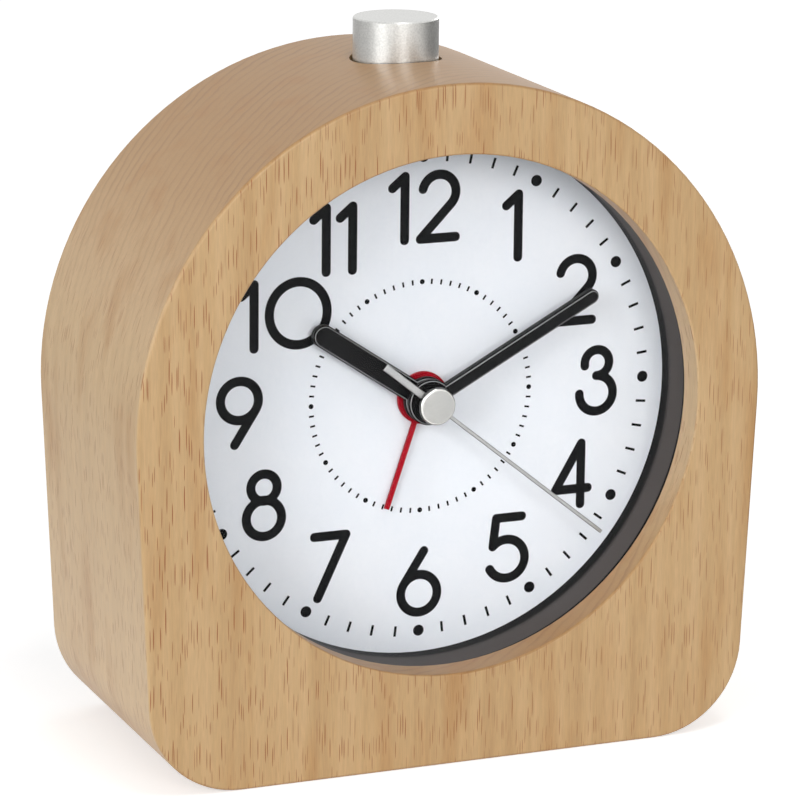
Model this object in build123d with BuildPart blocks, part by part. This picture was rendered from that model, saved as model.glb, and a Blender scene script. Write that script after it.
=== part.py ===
from build123d import *
import os
from math import acos, cos, pi, radians, sin, tan

# Arched beech alarm clock with a battery movement, as separate pieces.
# Sizes are in millimetres. X runs to the right as seen from the front, Y from the front to the back and
# Z up. The origin is the middle of the base. A depth is a distance behind the front face of the case.
# Places inside the clock are given from the dial's centre: across to the right, then up.

# Wooden case
case_width = 100.0
case_depth = 46.3
dial_height = 54.0
arch_offset = 0.3
side_lean = 2.46
base_corner_radius = 14.5
case_edge_radius = 0.5
opening_border = 10.3
opening_edge_radius = 0.3
lip_thickness = 4.8
bore_wall = 8.0
back_recess_wall = 4.0

# Lens, rim ring and dial, which stack behind the lip
seat_clearance = 0.3
lens_thickness = 1.5
ring_setback = 0.65
ring_length = 7.9
dial_thickness = 0.8

# Snooze button
button_diameter = 13.0
button_height = 6.0
button_setback = 2.3
button_travel = 1.8
button_gap = 0.5
button_edge = 0.2
button_crown = 4.0
button_wall = 1.5
button_boss_diameter = 6.4
pocket_depth = 6.0
stem_diameter = 4.0
stem_grip = 1.0
bush_flange_diameter = 11.0
bush_flange_thickness = 0.8
bush_sleeve_diameter = 6.2
bush_overhang = 0.5
stop_gap = 0.4
clip_diameter = 7.0
clip_thickness = 0.6
clip_groove_diameter = 3.0
clip_mouth = 2.2
clip_play = 0.1
spring_wire = 0.5
spring_turns = 5
spring_diameter = 8.2

# Fits
running_clearance = 0.05
free_clearance = 0.25
spring_seat = 0.02

# Hands, from the dial forwards
hand_gap = 0.35
alarm_hand_lift = 0.3
alarm_hub_height = 0.5
alarm_hand_thickness = 0.4
hand_hub_height = 1.3
hand_hub_disc = 0.85
hand_thickness = 1.2
second_hand_lift = 1.55
second_hand_thickness = 0.25
cap_height = 1.0
cap_edge = 0.3
arbor_reach = 0.55
alarm_hub_diameter = 8.1
hand_hub_diameter = 7.1
hand_collar_wall = 0.8
hand_bevel = 0.28
cap_diameter = 5.8
alarm_hand_reach = 17.9
alarm_hand_width = 0.75
alarm_hand_angle = 198.6
hour_hand_reach = 21.7
hour_hand_width = 3.5
hour_hand_angle = 303.9
minute_hand_margin = 8.6
minute_hand_width = 2.2
minute_hand_angle = 61.6
second_hand_margin = 3.9
second_hand_width = 0.58
second_hand_tail = 10.5
second_tail_width = 1.15
second_hand_bevel = 0.1
second_hand_angle = 128.9
second_hub_diameter = 4.0

# Nested pipes that carry the hands
arbor_diameter = 0.8
pipe_wall = 0.45
outer_pipe_wall = 0.55
base_bush_wall = 1.05

# Gears
pressure_angle = 20.0
tooth_addendum = 0.8
tooth_dedendum = 1.2
tooth_thinning = 0.06
least_plain_teeth = 17
wheel_thickness = 0.8
layer_gap = 0.55
pinion_overhang = 0.15
second_pinion_teeth = 8
third_wheel_teeth = 64
third_pinion_teeth = 8
centre_wheel_teeth = 60
cannon_pinion_teeth = 12
motion_wheel_teeth = 36
motion_pinion_teeth = 10
hour_wheel_teeth = 40
rotor_pinion_teeth = 8
intermediate_wheel_teeth = 48
intermediate_pinion_teeth = 10
second_wheel_teeth = 50
alarm_pinion_teeth = 24
alarm_wheel_teeth = 36
third_distance = 9.5
motion_distance = 9.6
intermediate_distance = 9.6
rotor_distance = 7.0
alarm_distance = 17.2
third_direction = 190.0
motion_direction = 118.0
time_shaft_direction = 171.0
intermediate_direction = 80.0
rotor_direction = 75.0
alarm_shaft_direction = 35.5

# Movement housing
base_thickness = 1.8
bridge_thickness = 1.0
cover_wall = 1.4
cover_half_width = 26.0
cover_top = 28.6
cover_bottom = -12.4
bridge_half_width = 24.3
bridge_top = 19.0
bridge_bottom = -10.8
post_diameter = 4.0
post_across = 22.0
upper_post_height = 16.5
lower_post_height = -8.5
pivot_depth = 0.8
movement_screw_diameter = 1.8
movement_screw_head = 3.6
movement_screw_head_height = 1.2
movement_screw_engagement = 3.6
motion_post_diameter = 1.6

# Stepping motor
magnet_diameter = 5.2
magnet_overhang = 0.8
rotor_sleeve_diameter = 1.8
stator_lift = 1.4
stator_thickness = 0.8
stator_half_width = 10.5
stator_arm_width = 2.25
stator_bar_height = 5.0
stator_ring_diameter = 8.0
magnet_air_gap = 0.4
stator_post_diameter = 1.8
coil_height = 23.6
core_height = 3.0
bobbin_half_length = 6.5
bobbin_flange_diameter = 6.4
bobbin_flange_thickness = 0.8
bobbin_tube_diameter = 4.4
bobbin_clearance = 0.1
winding_diameter = 6.0

# Alarm contact inside the movement
contact_thickness = 0.2
contact_width = 2.4
contact_gap = 0.15
contact_root = (19.0, -3.0)
contact_tip = (6.3, -1.5)
contact_boss_diameter = 3.0
contact_rivet_diameter = 1.0
contact_rivet_head = 0.3

# Circuit board and what sits on it
board_half_width = 19.0
board_top = 6.5
board_bottom = -11.0
board_thickness = 1.0
board_standoff = 1.25
standoff_diameter = 3.0
standoff_inset = 2.5
crystal_diameter = 2.0
crystal_length = 6.0
crystal_place = (9.0, -5.0)
chip_diameter = 7.0
chip_height = 1.2
chip_edge = 0.7
chip_place = (-6.0, -5.0)

# Setting shafts and knobs
shaft_diameter = 2.5
shaft_pivot_diameter = 1.2
shaft_pivot_length = 1.4
bearing_boss_diameter = 3.2
blind_pivot_length = 1.0
knob_diameter = 10.0
knob_height = 5.4
knob_gap = 0.4
knob_grip_depth = 4.0
knob_flutes = 16
knob_flute_diameter = 1.1
knob_edge = 0.4

# Back cover
back_room = 5.5
back_cover_thickness = 2.4
pillar_diameter = 5.0
pillar_inset = 5.0
pillar_directions = (31.5, -15.5)
cover_screw_inset = 1.8
cover_screw_direction = 45.0
cover_screw_diameter = 2.2
cover_screw_length = 10.0
cover_screw_head = 3.4
cover_screw_head_height = 1.1
screw_slot_width = 0.6
screw_slot_share = 0.7
sound_hole_diameter = 1.8
sound_hole_ring = 4.2
sound_hole_count = 6
buzzer_diameter = 18.0
buzzer_height = 4.2
buzzer_edge = 0.6
buzzer_place = (0.0, 20.0)

# Alarm switch in the back cover
switch_height = 4.0
switch_travel = 4.0
switch_neck = (3.0, 2.2)
switch_thumb = (3.8, 4.8)
switch_thumb_height = 2.0
switch_plate = (9.0, 6.0)
switch_plate_thickness = 1.0
switch_play = 0.2
leaf_thickness = 0.25
leaf_width = 2.5
leaf_spread = 3.0
leaf_foot = 0.8

# Battery, its compartment and its door
battery_diameter = 14.3
battery_length = 50.5
battery_nub_diameter = 5.4
battery_nub_length = 1.3
battery_height = -21.0
battery_edge = 0.6
battery_room = 0.2
compartment_wall = 1.0
positive_room = 0.5
negative_room = 2.95
contact_plate = 0.4
contact_plate_size = 11.0
battery_spring_wire = 0.6
battery_spring_turns = 2.5
battery_spring_diameter = 7.6
battery_spring_cone = 25.0
door_thickness = 2.0
door_side_gap = 0.3
door_pin_diameter = 1.4
door_pin_length = 0.7
finger_notch_diameter = 10.0
finger_notch_depth = 1.6

# Snooze switch on top of the movement
switch_body_size = 7.0
switch_body_height = 6.0
plunger_diameter = 3.0
plunger_depth = 3.0


# Places worked out from the sizes above
front_y = -case_depth / 2
arch_radius = case_width / 2
arch_height = dial_height + arch_offset
arch_top = arch_height + arch_radius
opening_radius = arch_radius - opening_border
bore_radius = arch_radius - bore_wall
recess_radius = arch_radius - back_recess_wall
seat_radius = bore_radius - seat_clearance
minute_hand_reach = opening_radius - minute_hand_margin
second_hand_reach = opening_radius - second_hand_margin

lens_far = lip_thickness + lens_thickness
dial_near = lens_far + ring_length
dial_far = dial_near + dial_thickness
base_far = dial_far + base_thickness

layer_step = wheel_thickness + layer_gap
alarm_layer, hour_layer, motion_layer = [base_far + layer_gap + n * layer_step for n in range(3)]
bridge_near = motion_layer + layer_step
bridge_far = bridge_near + bridge_thickness
centre_layer, third_layer, second_layer, rotor_layer = [
    bridge_far + layer_gap + n * layer_step for n in range(4)
]
cover_inner = rotor_layer + layer_step
cover_far = cover_inner + cover_wall
board_near = cover_far + board_standoff
board_far = board_near + board_thickness

back_near = board_far + back_room
back_far = back_near + back_cover_thickness
battery_radius = battery_diameter / 2
battery_depth = back_near - battery_room - battery_radius
room_left = -battery_length / 2 - negative_room
room_right = battery_length / 2 + positive_room
room_bottom = battery_height - battery_radius - battery_room
room_top = battery_height + battery_radius + battery_room
room_near = battery_depth - battery_radius - running_clearance

alarm_hub_far = dial_near - alarm_hand_lift
alarm_hub_near = alarm_hub_far - alarm_hub_height
hour_hub_far = alarm_hub_near - hand_gap
hour_hub_near = hour_hub_far - hand_hub_height
minute_hub_far = hour_hub_near - hand_gap
minute_hub_near = minute_hub_far - hand_hub_height
second_hand_far = minute_hub_near - second_hand_lift
second_hand_near = second_hand_far - second_hand_thickness
cap_near = second_hand_near - cap_height

arbor_radius = arbor_diameter / 2
minute_bore = arbor_radius + running_clearance
minute_pipe = minute_bore + pipe_wall
hour_bore = minute_pipe + running_clearance
hour_pipe = hour_bore + outer_pipe_wall
alarm_bore = hour_pipe + running_clearance
alarm_pipe = alarm_bore + outer_pipe_wall
bush_bore = alarm_pipe + running_clearance
bush_radius = bush_bore + base_bush_wall


def polar(distance, direction, start=(0.0, 0.0)):
    """A place at a distance and a direction from another, seen from the front."""
    return (
        start[0] + distance * cos(radians(direction)),
        start[1] + distance * sin(radians(direction)),
    )


centre_axis = (0.0, 0.0)
third_axis = polar(third_distance, third_direction)
motion_axis = polar(motion_distance, motion_direction)
time_axis = polar(motion_distance, time_shaft_direction, motion_axis)
intermediate_axis = polar(intermediate_distance, intermediate_direction)
rotor_axis = polar(rotor_distance, rotor_direction, intermediate_axis)
alarm_axis = polar(alarm_distance, alarm_shaft_direction)
posts = [(side * post_across, up) for side in (-1, 1) for up in (upper_post_height, lower_post_height)]


def depth_plane(depth, place=centre_axis):
    """A plane that faces the front, at a depth behind the front face."""
    return Plane(
        origin=(place[0], front_y + depth, dial_height + place[1]),
        x_dir=(1, 0, 0),
        z_dir=(0, -1, 0),
    )


def add_disc(radius, near, far, place=centre_axis, mode=Mode.ADD):
    """Add or cut a round section between two depths."""
    with BuildSketch(depth_plane(near, place)) as section:
        Circle(radius)
    extrude(section.sketch, amount=near - far, mode=mode)


def add_block(left, right, bottom, top, near, far, mode=Mode.ADD):
    """Add or cut a rectangular section between two depths."""
    with BuildSketch(depth_plane(near)) as section:
        with Locations(((left + right) / 2, (bottom + top) / 2)):
            Rectangle(right - left, top - bottom)
    extrude(section.sketch, amount=near - far, mode=mode)


def add_rod(radius, left, right, depth, up, mode=Mode.ADD):
    """Add or cut a round section that runs across, between two places left and right."""
    plane = Plane(
        origin=(left, front_y + depth, dial_height + up),
        x_dir=(0, 1, 0),
        z_dir=(1, 0, 0),
    )
    with BuildSketch(plane) as section:
        Circle(radius)
    extrude(section.sketch, amount=right - left, mode=mode)


def add_upright(radius, low, high, mode=Mode.ADD):
    """Add or cut a round section on the button's upright axis, between two heights over the base."""
    with BuildSketch(Plane(origin=(0, button_setback, low))) as section:
        Circle(radius)
    extrude(section.sketch, amount=high - low, mode=mode)


def pinion_shift(teeth):
    """How far a pinion's teeth are shifted outwards, as a share of the module, so that none is undercut."""
    return max(0.0, 1 - teeth / least_plain_teeth)


def involute(angle):
    return tan(angle) - angle


def meshing_angle(tooth_angle, teeth, mate_teeth, direction):
    """The tooth angle of the mate, which lies in a direction, that puts its teeth in this gear's gaps."""
    part_of_pitch = (tooth_angle - direction) * teeth / 360
    return direction + 180 + (0.5 - part_of_pitch) * 360 / mate_teeth


def add_gear(teeth, distance, pinion_teeth, wheel_teeth, tooth_angle, near, far, place=centre_axis):
    """Add a gear of a pinion and wheel that mesh at a distance, with a tooth's middle at tooth_angle.

    Each flank is an arc through three points of the involute, and tips and roots are round.
    """
    module = 2 * distance / (pinion_teeth + wheel_teeth)
    shift = pinion_shift(pinion_teeth) * (1 if teeth == pinion_teeth else -1)
    pressure = radians(pressure_angle)
    pitch_radius = module * teeth / 2
    base_radius = pitch_radius * cos(pressure)
    tip_radius = pitch_radius + module * (tooth_addendum + shift)
    root_radius = pitch_radius - module * (tooth_dedendum - shift)
    tooth_width = module * (pi / 2 + 2 * shift * tan(pressure)) - tooth_thinning
    tooth_pitch = 2 * pi / teeth

    def half_angle(radius):
        slope = acos(min(1.0, base_radius / radius))
        return tooth_width / (2 * pitch_radius) + involute(pressure) - involute(slope)

    def at(radius, angle):
        return (radius * cos(angle), radius * sin(angle))

    flank_start = max(base_radius, root_radius)
    flank = (flank_start, (flank_start + tip_radius) / 2, tip_radius)
    edges = []
    for number in range(teeth):
        middle = radians(tooth_angle) + number * tooth_pitch
        right = [at(radius, middle - half_angle(radius)) for radius in flank]
        left = [at(radius, middle + half_angle(radius)) for radius in reversed(flank)]
        gap_start = middle + half_angle(flank_start)
        gap_end = middle + tooth_pitch - half_angle(flank_start)
        root = [at(root_radius, angle) for angle in (gap_start, middle + tooth_pitch / 2, gap_end)]
        edges.append(ThreePointArc(*right, mode=Mode.PRIVATE))
        edges.append(ThreePointArc(right[2], at(tip_radius, middle), left[0], mode=Mode.PRIVATE))
        edges.append(ThreePointArc(*left, mode=Mode.PRIVATE))
        edges.append(ThreePointArc(*root, mode=Mode.PRIVATE))
        if root_radius < base_radius:
            edges.append(Line(left[2], root[0], mode=Mode.PRIVATE))
            edges.append(Line(root[2], at(flank_start, gap_end), mode=Mode.PRIVATE))
    with BuildSketch(depth_plane(near, place)) as outline:
        with BuildLine():
            add(edges)
        make_face()
    extrude(outline.sketch, amount=near - far)


def add_pinion(teeth, distance, wheel_teeth, tooth_angle, layer, place=centre_axis):
    """Add a pinion a little wider than the wheel layer that it meshes in."""
    near = layer - pinion_overhang
    far = layer + wheel_thickness + pinion_overhang
    add_gear(teeth, distance, teeth, wheel_teeth, tooth_angle, near, far, place)


def add_wheel(teeth, distance, pinion_teeth, tooth_angle, layer, place=centre_axis):
    """Add a wheel that fills its layer."""
    add_gear(teeth, distance, pinion_teeth, teeth, tooth_angle, layer, layer + wheel_thickness, place)


# Wooden case: an arch on sides that lean in to the base, bored through behind a front lip, and cleared
# where the battery compartment would reach past the bore
lean = radians(side_lean)
spring_x = arch_radius * cos(lean)
spring_z = arch_height - arch_radius * sin(lean)
foot_x = spring_x - spring_z * tan(lean)
button_radius = button_diameter / 2
pocket_floor = arch_top - pocket_depth
bore_top = dial_height + bore_radius
cover_screw_radius = recess_radius - cover_screw_inset
cover_screws = [
    polar(cover_screw_radius, cover_screw_direction + quarter * 90) for quarter in range(4)
]
cover_screw_tip = back_far - cover_screw_length
screw_radius = cover_screw_diameter / 2
relief = compartment_wall + free_clearance

with BuildPart() as wooden_case:
    with BuildSketch(Plane.XZ.offset(-front_y)) as outline:
        with BuildLine():
            ThreePointArc((-spring_x, spring_z), (0, arch_top), (spring_x, spring_z))
            Polyline((spring_x, spring_z), (foot_x, 0), (-foot_x, 0), (-spring_x, spring_z))
        make_face()
        fillet(outline.vertices().group_by(Axis.Y)[0], base_corner_radius)
    extrude(amount=-case_depth)
    end_faces = wooden_case.faces().filter_by(Axis.Y)
    fillet(end_faces.edges(), case_edge_radius)
    add_disc(opening_radius, 0, case_depth, mode=Mode.SUBTRACT)
    fillet(wooden_case.faces().sort_by(Axis.Y)[0].inner_wires().edges(), opening_edge_radius)
    add_disc(bore_radius, lip_thickness, case_depth, mode=Mode.SUBTRACT)
    add_disc(recess_radius, back_near, case_depth, mode=Mode.SUBTRACT)
    add_block(
        room_left - relief,
        room_right + relief,
        room_bottom - relief,
        room_top + relief,
        room_near - relief,
        case_depth,
        mode=Mode.SUBTRACT,
    )
    add_upright(button_radius + button_gap, pocket_floor, arch_top, mode=Mode.SUBTRACT)
    add_upright(
        bush_sleeve_diameter / 2 + running_clearance, dial_height, pocket_floor, mode=Mode.SUBTRACT
    )
    for place in cover_screws:
        add_disc(screw_radius, cover_screw_tip, back_near, place, mode=Mode.SUBTRACT)

# Lens, rim ring and dial, stacked behind the lip
with BuildPart() as lens:
    add_disc(seat_radius, lip_thickness, lens_far)

with BuildPart() as rim_ring:
    add_disc(seat_radius, lens_far, dial_near)
    add_disc(opening_radius + ring_setback, lens_far, dial_near, mode=Mode.SUBTRACT)

with BuildPart() as dial:
    add_disc(seat_radius, dial_near, dial_far)
    add_disc(bush_radius + running_clearance, dial_near, dial_far, mode=Mode.SUBTRACT)


# Hands, each pressed on its pipe
def hand_plane(depth, clock_angle):
    """A plane that faces the front, with X along a hand at an angle clockwise from twelve."""
    angle = radians(clock_angle)
    return Plane(
        origin=(0, front_y + depth, dial_height),
        x_dir=(sin(angle), 0, cos(angle)),
        z_dir=(0, -1, 0),
    )


def add_blade(reach, width, near, thickness, clock_angle):
    """Add a straight blade with a round tip, from the axis outwards."""
    straight = reach - width / 2
    with BuildSketch(hand_plane(near, clock_angle)) as blade:
        with Locations((straight / 2, 0)):
            Rectangle(straight, width)
        with Locations((straight, 0)):
            Circle(width / 2)
    extrude(blade.sketch, amount=-thickness)


def add_hub(near, far, pipe_radius):
    """Add a hub disc with a collar behind it, bored for its pipe."""
    add_disc(hand_hub_diameter / 2, near, near + hand_hub_disc)
    add_disc(pipe_radius + hand_collar_wall, near + hand_hub_disc, far)
    add_disc(pipe_radius, near, far, mode=Mode.SUBTRACT)


with BuildPart() as alarm_hand:
    with BuildSketch(hand_plane(alarm_hub_near, alarm_hand_angle)) as blade:
        with Locations((alarm_hand_reach / 2, 0)):
            Rectangle(alarm_hand_reach, alarm_hand_width)
    extrude(blade.sketch, amount=-alarm_hand_thickness)
    add_disc(alarm_hub_diameter / 2, alarm_hub_near, alarm_hub_far)
    add_disc(alarm_pipe, alarm_hub_near, alarm_hub_far, mode=Mode.SUBTRACT)

with BuildPart() as hour_hand:
    add_blade(hour_hand_reach, hour_hand_width, hour_hub_near, hand_thickness, hour_hand_angle)
    add_hub(hour_hub_near, hour_hub_far, hour_pipe)
    chamfer(hour_hand.faces().sort_by(Axis.Y)[0].outer_wire().edges(), hand_bevel)

with BuildPart() as minute_hand:
    add_blade(minute_hand_reach, minute_hand_width, minute_hub_near, hand_thickness, minute_hand_angle)
    add_hub(minute_hub_near, minute_hub_far, minute_pipe)
    chamfer(minute_hand.faces().sort_by(Axis.Y)[0].outer_wire().edges(), hand_bevel)

with BuildPart() as second_hand:
    with BuildSketch(hand_plane(second_hand_near, second_hand_angle)) as blade:
        with Locations((second_hand_reach / 2, 0)):
            Rectangle(second_hand_reach, second_hand_width)
        with Locations((-second_hand_tail / 2, 0)):
            Rectangle(second_hand_tail, second_tail_width)
        Circle(second_hub_diameter / 2)
        Circle(arbor_radius, mode=Mode.SUBTRACT)
    extrude(blade.sketch, amount=-second_hand_thickness)
    chamfer(second_hand.faces().sort_by(Axis.Y)[0].outer_wire().edges(), second_hand_bevel)

with BuildPart() as second_hand_cap:
    add_disc(cap_diameter / 2, cap_near, second_hand_near)
    chamfer(second_hand_cap.faces().sort_by(Axis.Y)[0].edges(), cap_edge)
    add_disc(arbor_radius, second_hand_near - arbor_reach, second_hand_near, mode=Mode.SUBTRACT)

# Going train on the centre axis, from the dial backwards
with BuildPart() as alarm_wheel:
    add_wheel(
        alarm_wheel_teeth, alarm_distance, alarm_pinion_teeth, alarm_shaft_direction, alarm_layer
    )
    add_disc(alarm_pipe, alarm_hub_near, alarm_layer)
    add_disc(alarm_bore, alarm_hub_near, alarm_layer + wheel_thickness, mode=Mode.SUBTRACT)

with BuildPart() as hour_wheel:
    add_wheel(hour_wheel_teeth, motion_distance, motion_pinion_teeth, motion_direction, hour_layer)
    add_disc(hour_pipe, hour_hub_near, hour_layer)
    add_disc(hour_bore, hour_hub_near, hour_layer + wheel_thickness, mode=Mode.SUBTRACT)

with BuildPart() as cannon_pinion:
    add_pinion(
        cannon_pinion_teeth, motion_distance, motion_wheel_teeth, motion_direction, motion_layer
    )
    add_disc(minute_pipe, minute_hub_near, centre_layer + wheel_thickness)
    add_disc(minute_bore, minute_hub_near, centre_layer + wheel_thickness, mode=Mode.SUBTRACT)

with BuildPart() as centre_wheel:
    add_wheel(
        centre_wheel_teeth, third_distance, third_pinion_teeth, third_direction, centre_layer
    )
    add_disc(minute_pipe, centre_layer, centre_layer + wheel_thickness, mode=Mode.SUBTRACT)

with BuildPart() as second_wheel:
    add_pinion(
        second_pinion_teeth, third_distance, third_wheel_teeth, third_direction, third_layer
    )
    add_wheel(
        second_wheel_teeth,
        intermediate_distance,
        intermediate_pinion_teeth,
        intermediate_direction,
        second_layer,
    )
    add_disc(arbor_radius, second_hand_near - arbor_reach, cover_inner + pivot_depth)

# Wheels beside the centre axis, with a gap of theirs where a tooth of their mate stands
third_tooth = meshing_angle(third_direction, second_pinion_teeth, third_wheel_teeth, third_direction)
third_pinion_tooth = meshing_angle(
    third_direction, centre_wheel_teeth, third_pinion_teeth, third_direction
)
with BuildPart() as third_wheel:
    add_wheel(
        third_wheel_teeth, third_distance, second_pinion_teeth, third_tooth, third_layer, third_axis
    )
    add_pinion(
        third_pinion_teeth,
        third_distance,
        centre_wheel_teeth,
        third_pinion_tooth,
        centre_layer,
        third_axis,
    )
    add_disc(arbor_radius, bridge_far - pivot_depth, cover_inner + pivot_depth, third_axis)

motion_tooth = meshing_angle(
    motion_direction, cannon_pinion_teeth, motion_wheel_teeth, motion_direction
)
motion_pinion_tooth = meshing_angle(
    motion_direction, hour_wheel_teeth, motion_pinion_teeth, motion_direction
)
motion_bore = motion_post_diameter / 2 + running_clearance
motion_near = hour_layer - pinion_overhang
motion_far = motion_layer + wheel_thickness
with BuildPart() as motion_wheel:
    add_wheel(
        motion_wheel_teeth,
        motion_distance,
        cannon_pinion_teeth,
        motion_tooth,
        motion_layer,
        motion_axis,
    )
    add_gear(
        motion_pinion_teeth,
        motion_distance,
        motion_pinion_teeth,
        hour_wheel_teeth,
        motion_pinion_tooth,
        motion_near,
        motion_layer,
        motion_axis,
    )
    add_disc(motion_bore, motion_near, motion_far, motion_axis, mode=Mode.SUBTRACT)

intermediate_pinion_tooth = meshing_angle(
    intermediate_direction, second_wheel_teeth, intermediate_pinion_teeth, intermediate_direction
)
with BuildPart() as intermediate_wheel:
    add_pinion(
        intermediate_pinion_teeth,
        intermediate_distance,
        second_wheel_teeth,
        intermediate_pinion_tooth,
        second_layer,
        intermediate_axis,
    )
    add_wheel(
        intermediate_wheel_teeth,
        rotor_distance,
        rotor_pinion_teeth,
        rotor_direction,
        rotor_layer,
        intermediate_axis,
    )
    add_disc(arbor_radius, bridge_far - pivot_depth, cover_inner + pivot_depth, intermediate_axis)

# Stepping motor: rotor with a ring magnet, stator plate, and a coil on a core across its arms
stator_near = bridge_far + stator_lift
stator_far = stator_near + stator_thickness
core_far = stator_far + stator_thickness
magnet_near = stator_near - magnet_overhang
magnet_far = stator_far + magnet_overhang
rotor_sleeve = rotor_sleeve_diameter / 2
rotor_tooth = meshing_angle(
    rotor_direction, intermediate_wheel_teeth, rotor_pinion_teeth, rotor_direction
)
with BuildPart() as rotor:
    add_pinion(
        rotor_pinion_teeth,
        rotor_distance,
        intermediate_wheel_teeth,
        rotor_tooth,
        rotor_layer,
        rotor_axis,
    )
    add_disc(rotor_sleeve, magnet_near, rotor_layer, rotor_axis)
    add_disc(arbor_radius, bridge_far - pivot_depth, cover_inner + pivot_depth, rotor_axis)

with BuildPart() as rotor_magnet:
    add_disc(magnet_diameter / 2, magnet_near, magnet_far, rotor_axis)
    add_disc(rotor_sleeve, magnet_near, magnet_far, rotor_axis, mode=Mode.SUBTRACT)

stator_left = rotor_axis[0] - stator_half_width
stator_right = rotor_axis[0] + stator_half_width
stator_bottom = rotor_axis[1] - stator_bar_height / 2
core_top = coil_height + core_height / 2
core_bottom = coil_height - core_height / 2
with BuildPart() as stator:
    add_block(
        stator_left,
        stator_right,
        stator_bottom,
        stator_bottom + stator_bar_height,
        stator_near,
        stator_far,
    )
    add_block(
        stator_left, stator_left + stator_arm_width, stator_bottom, core_top, stator_near, stator_far
    )
    add_block(
        stator_right - stator_arm_width, stator_right, stator_bottom, core_top, stator_near, stator_far
    )
    add_disc(stator_ring_diameter / 2, stator_near, stator_far, rotor_axis)
    add_disc(
        magnet_diameter / 2 + magnet_air_gap, stator_near, stator_far, rotor_axis, mode=Mode.SUBTRACT
    )

with BuildPart() as coil_core:
    add_block(stator_left, stator_right, core_bottom, core_top, stator_far, core_far)

coil_depth = (stator_far + core_far) / 2
coil_left = rotor_axis[0] - bobbin_half_length
coil_right = rotor_axis[0] + bobbin_half_length
winding_left = coil_left + bobbin_flange_thickness
winding_right = coil_right - bobbin_flange_thickness
bobbin_tube = bobbin_tube_diameter / 2
with BuildPart() as coil_bobbin:
    add_rod(bobbin_tube, coil_left, coil_right, coil_depth, coil_height)
    add_rod(bobbin_flange_diameter / 2, coil_left, winding_left, coil_depth, coil_height)
    add_rod(bobbin_flange_diameter / 2, winding_right, coil_right, coil_depth, coil_height)
    add_block(
        coil_left,
        coil_right,
        core_bottom - bobbin_clearance,
        core_top + bobbin_clearance,
        stator_far - bobbin_clearance,
        core_far + bobbin_clearance,
        mode=Mode.SUBTRACT,
    )

with BuildPart() as coil_winding:
    add_rod(winding_diameter / 2, winding_left, winding_right, coil_depth, coil_height)
    add_rod(
        bobbin_tube, winding_left, winding_right, coil_depth, coil_height, mode=Mode.SUBTRACT
    )

# Movement housing: a base behind the dial, a bridge on posts, and a cover over both
time_pinion_near = motion_layer - pinion_overhang
shaft_radius = shaft_diameter / 2
shaft_bearing = shaft_radius + running_clearance
shaft_pivot = shaft_pivot_diameter / 2
pivot_bore = arbor_radius + running_clearance
movement_screw = movement_screw_diameter / 2
movement_screw_tip = bridge_near - movement_screw_engagement
bearing_boss_far = time_pinion_near - free_clearance
contact_near = hour_layer + wheel_thickness + contact_gap
contact_far = contact_near + contact_thickness
with BuildPart() as movement_base:
    add_disc(seat_radius, dial_far, base_far)
    add_disc(bush_radius, dial_near, base_far)
    for place in posts:
        add_disc(post_diameter / 2, base_far, bridge_near, place)
        add_disc(movement_screw, movement_screw_tip, bridge_near, place, mode=Mode.SUBTRACT)
    add_disc(bearing_boss_diameter / 2, base_far, bearing_boss_far, time_axis)
    add_disc(contact_boss_diameter / 2, base_far, contact_near, contact_root)
    add_disc(contact_rivet_diameter / 2, contact_near, contact_far + contact_rivet_head, contact_root)
    add_disc(bush_bore, dial_near, base_far, mode=Mode.SUBTRACT)
    add_disc(
        shaft_pivot + running_clearance,
        time_pinion_near - shaft_pivot_length - free_clearance,
        bearing_boss_far,
        time_axis,
        mode=Mode.SUBTRACT,
    )
    add_disc(
        shaft_pivot + running_clearance,
        base_far - blind_pivot_length - free_clearance,
        base_far,
        alarm_axis,
        mode=Mode.SUBTRACT,
    )

stator_posts = [
    (stator_left + stator_arm_width / 2, rotor_axis[1]),
    (stator_right - stator_arm_width / 2, rotor_axis[1]),
]
with BuildPart() as movement_bridge:
    add_block(
        -bridge_half_width, bridge_half_width, bridge_bottom, bridge_top, bridge_near, bridge_far
    )
    add_disc(motion_post_diameter / 2, motion_near, bridge_near, motion_axis)
    for place in stator_posts:
        add_disc(stator_post_diameter / 2, bridge_far, stator_near, place)
    for place in posts:
        add_disc(movement_screw, bridge_near, bridge_far, place, mode=Mode.SUBTRACT)
    add_disc(hour_bore, bridge_near, bridge_far, mode=Mode.SUBTRACT)
    for place in (time_axis, alarm_axis):
        add_disc(shaft_bearing, bridge_near, bridge_far, place, mode=Mode.SUBTRACT)
    for place in (third_axis, intermediate_axis, rotor_axis):
        add_disc(pivot_bore, bridge_near, bridge_far, place, mode=Mode.SUBTRACT)

standoffs = [
    (side * (board_half_width - standoff_inset), up)
    for side in (-1, 1)
    for up in (board_top - standoff_inset, board_bottom + standoff_inset)
]
with BuildPart() as movement_cover:
    add_block(
        -cover_half_width, cover_half_width, cover_bottom, cover_top, base_far, cover_far
    )
    add_block(
        cover_wall - cover_half_width,
        cover_half_width - cover_wall,
        cover_bottom + cover_wall,
        cover_top - cover_wall,
        base_far,
        cover_inner,
        mode=Mode.SUBTRACT,
    )
    for place in posts:
        add_disc(post_diameter / 2, bridge_far, cover_inner, place)
        add_disc(movement_screw, bridge_far, cover_far, place, mode=Mode.SUBTRACT)
    for place in standoffs:
        add_disc(standoff_diameter / 2, cover_far, board_near, place)
    for place in (time_axis, alarm_axis):
        add_disc(shaft_bearing, cover_inner, cover_far, place, mode=Mode.SUBTRACT)
    for place in (centre_axis, third_axis, intermediate_axis, rotor_axis):
        add_disc(
            pivot_bore,
            cover_inner,
            cover_inner + pivot_depth + running_clearance,
            place,
            mode=Mode.SUBTRACT,
        )


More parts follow.
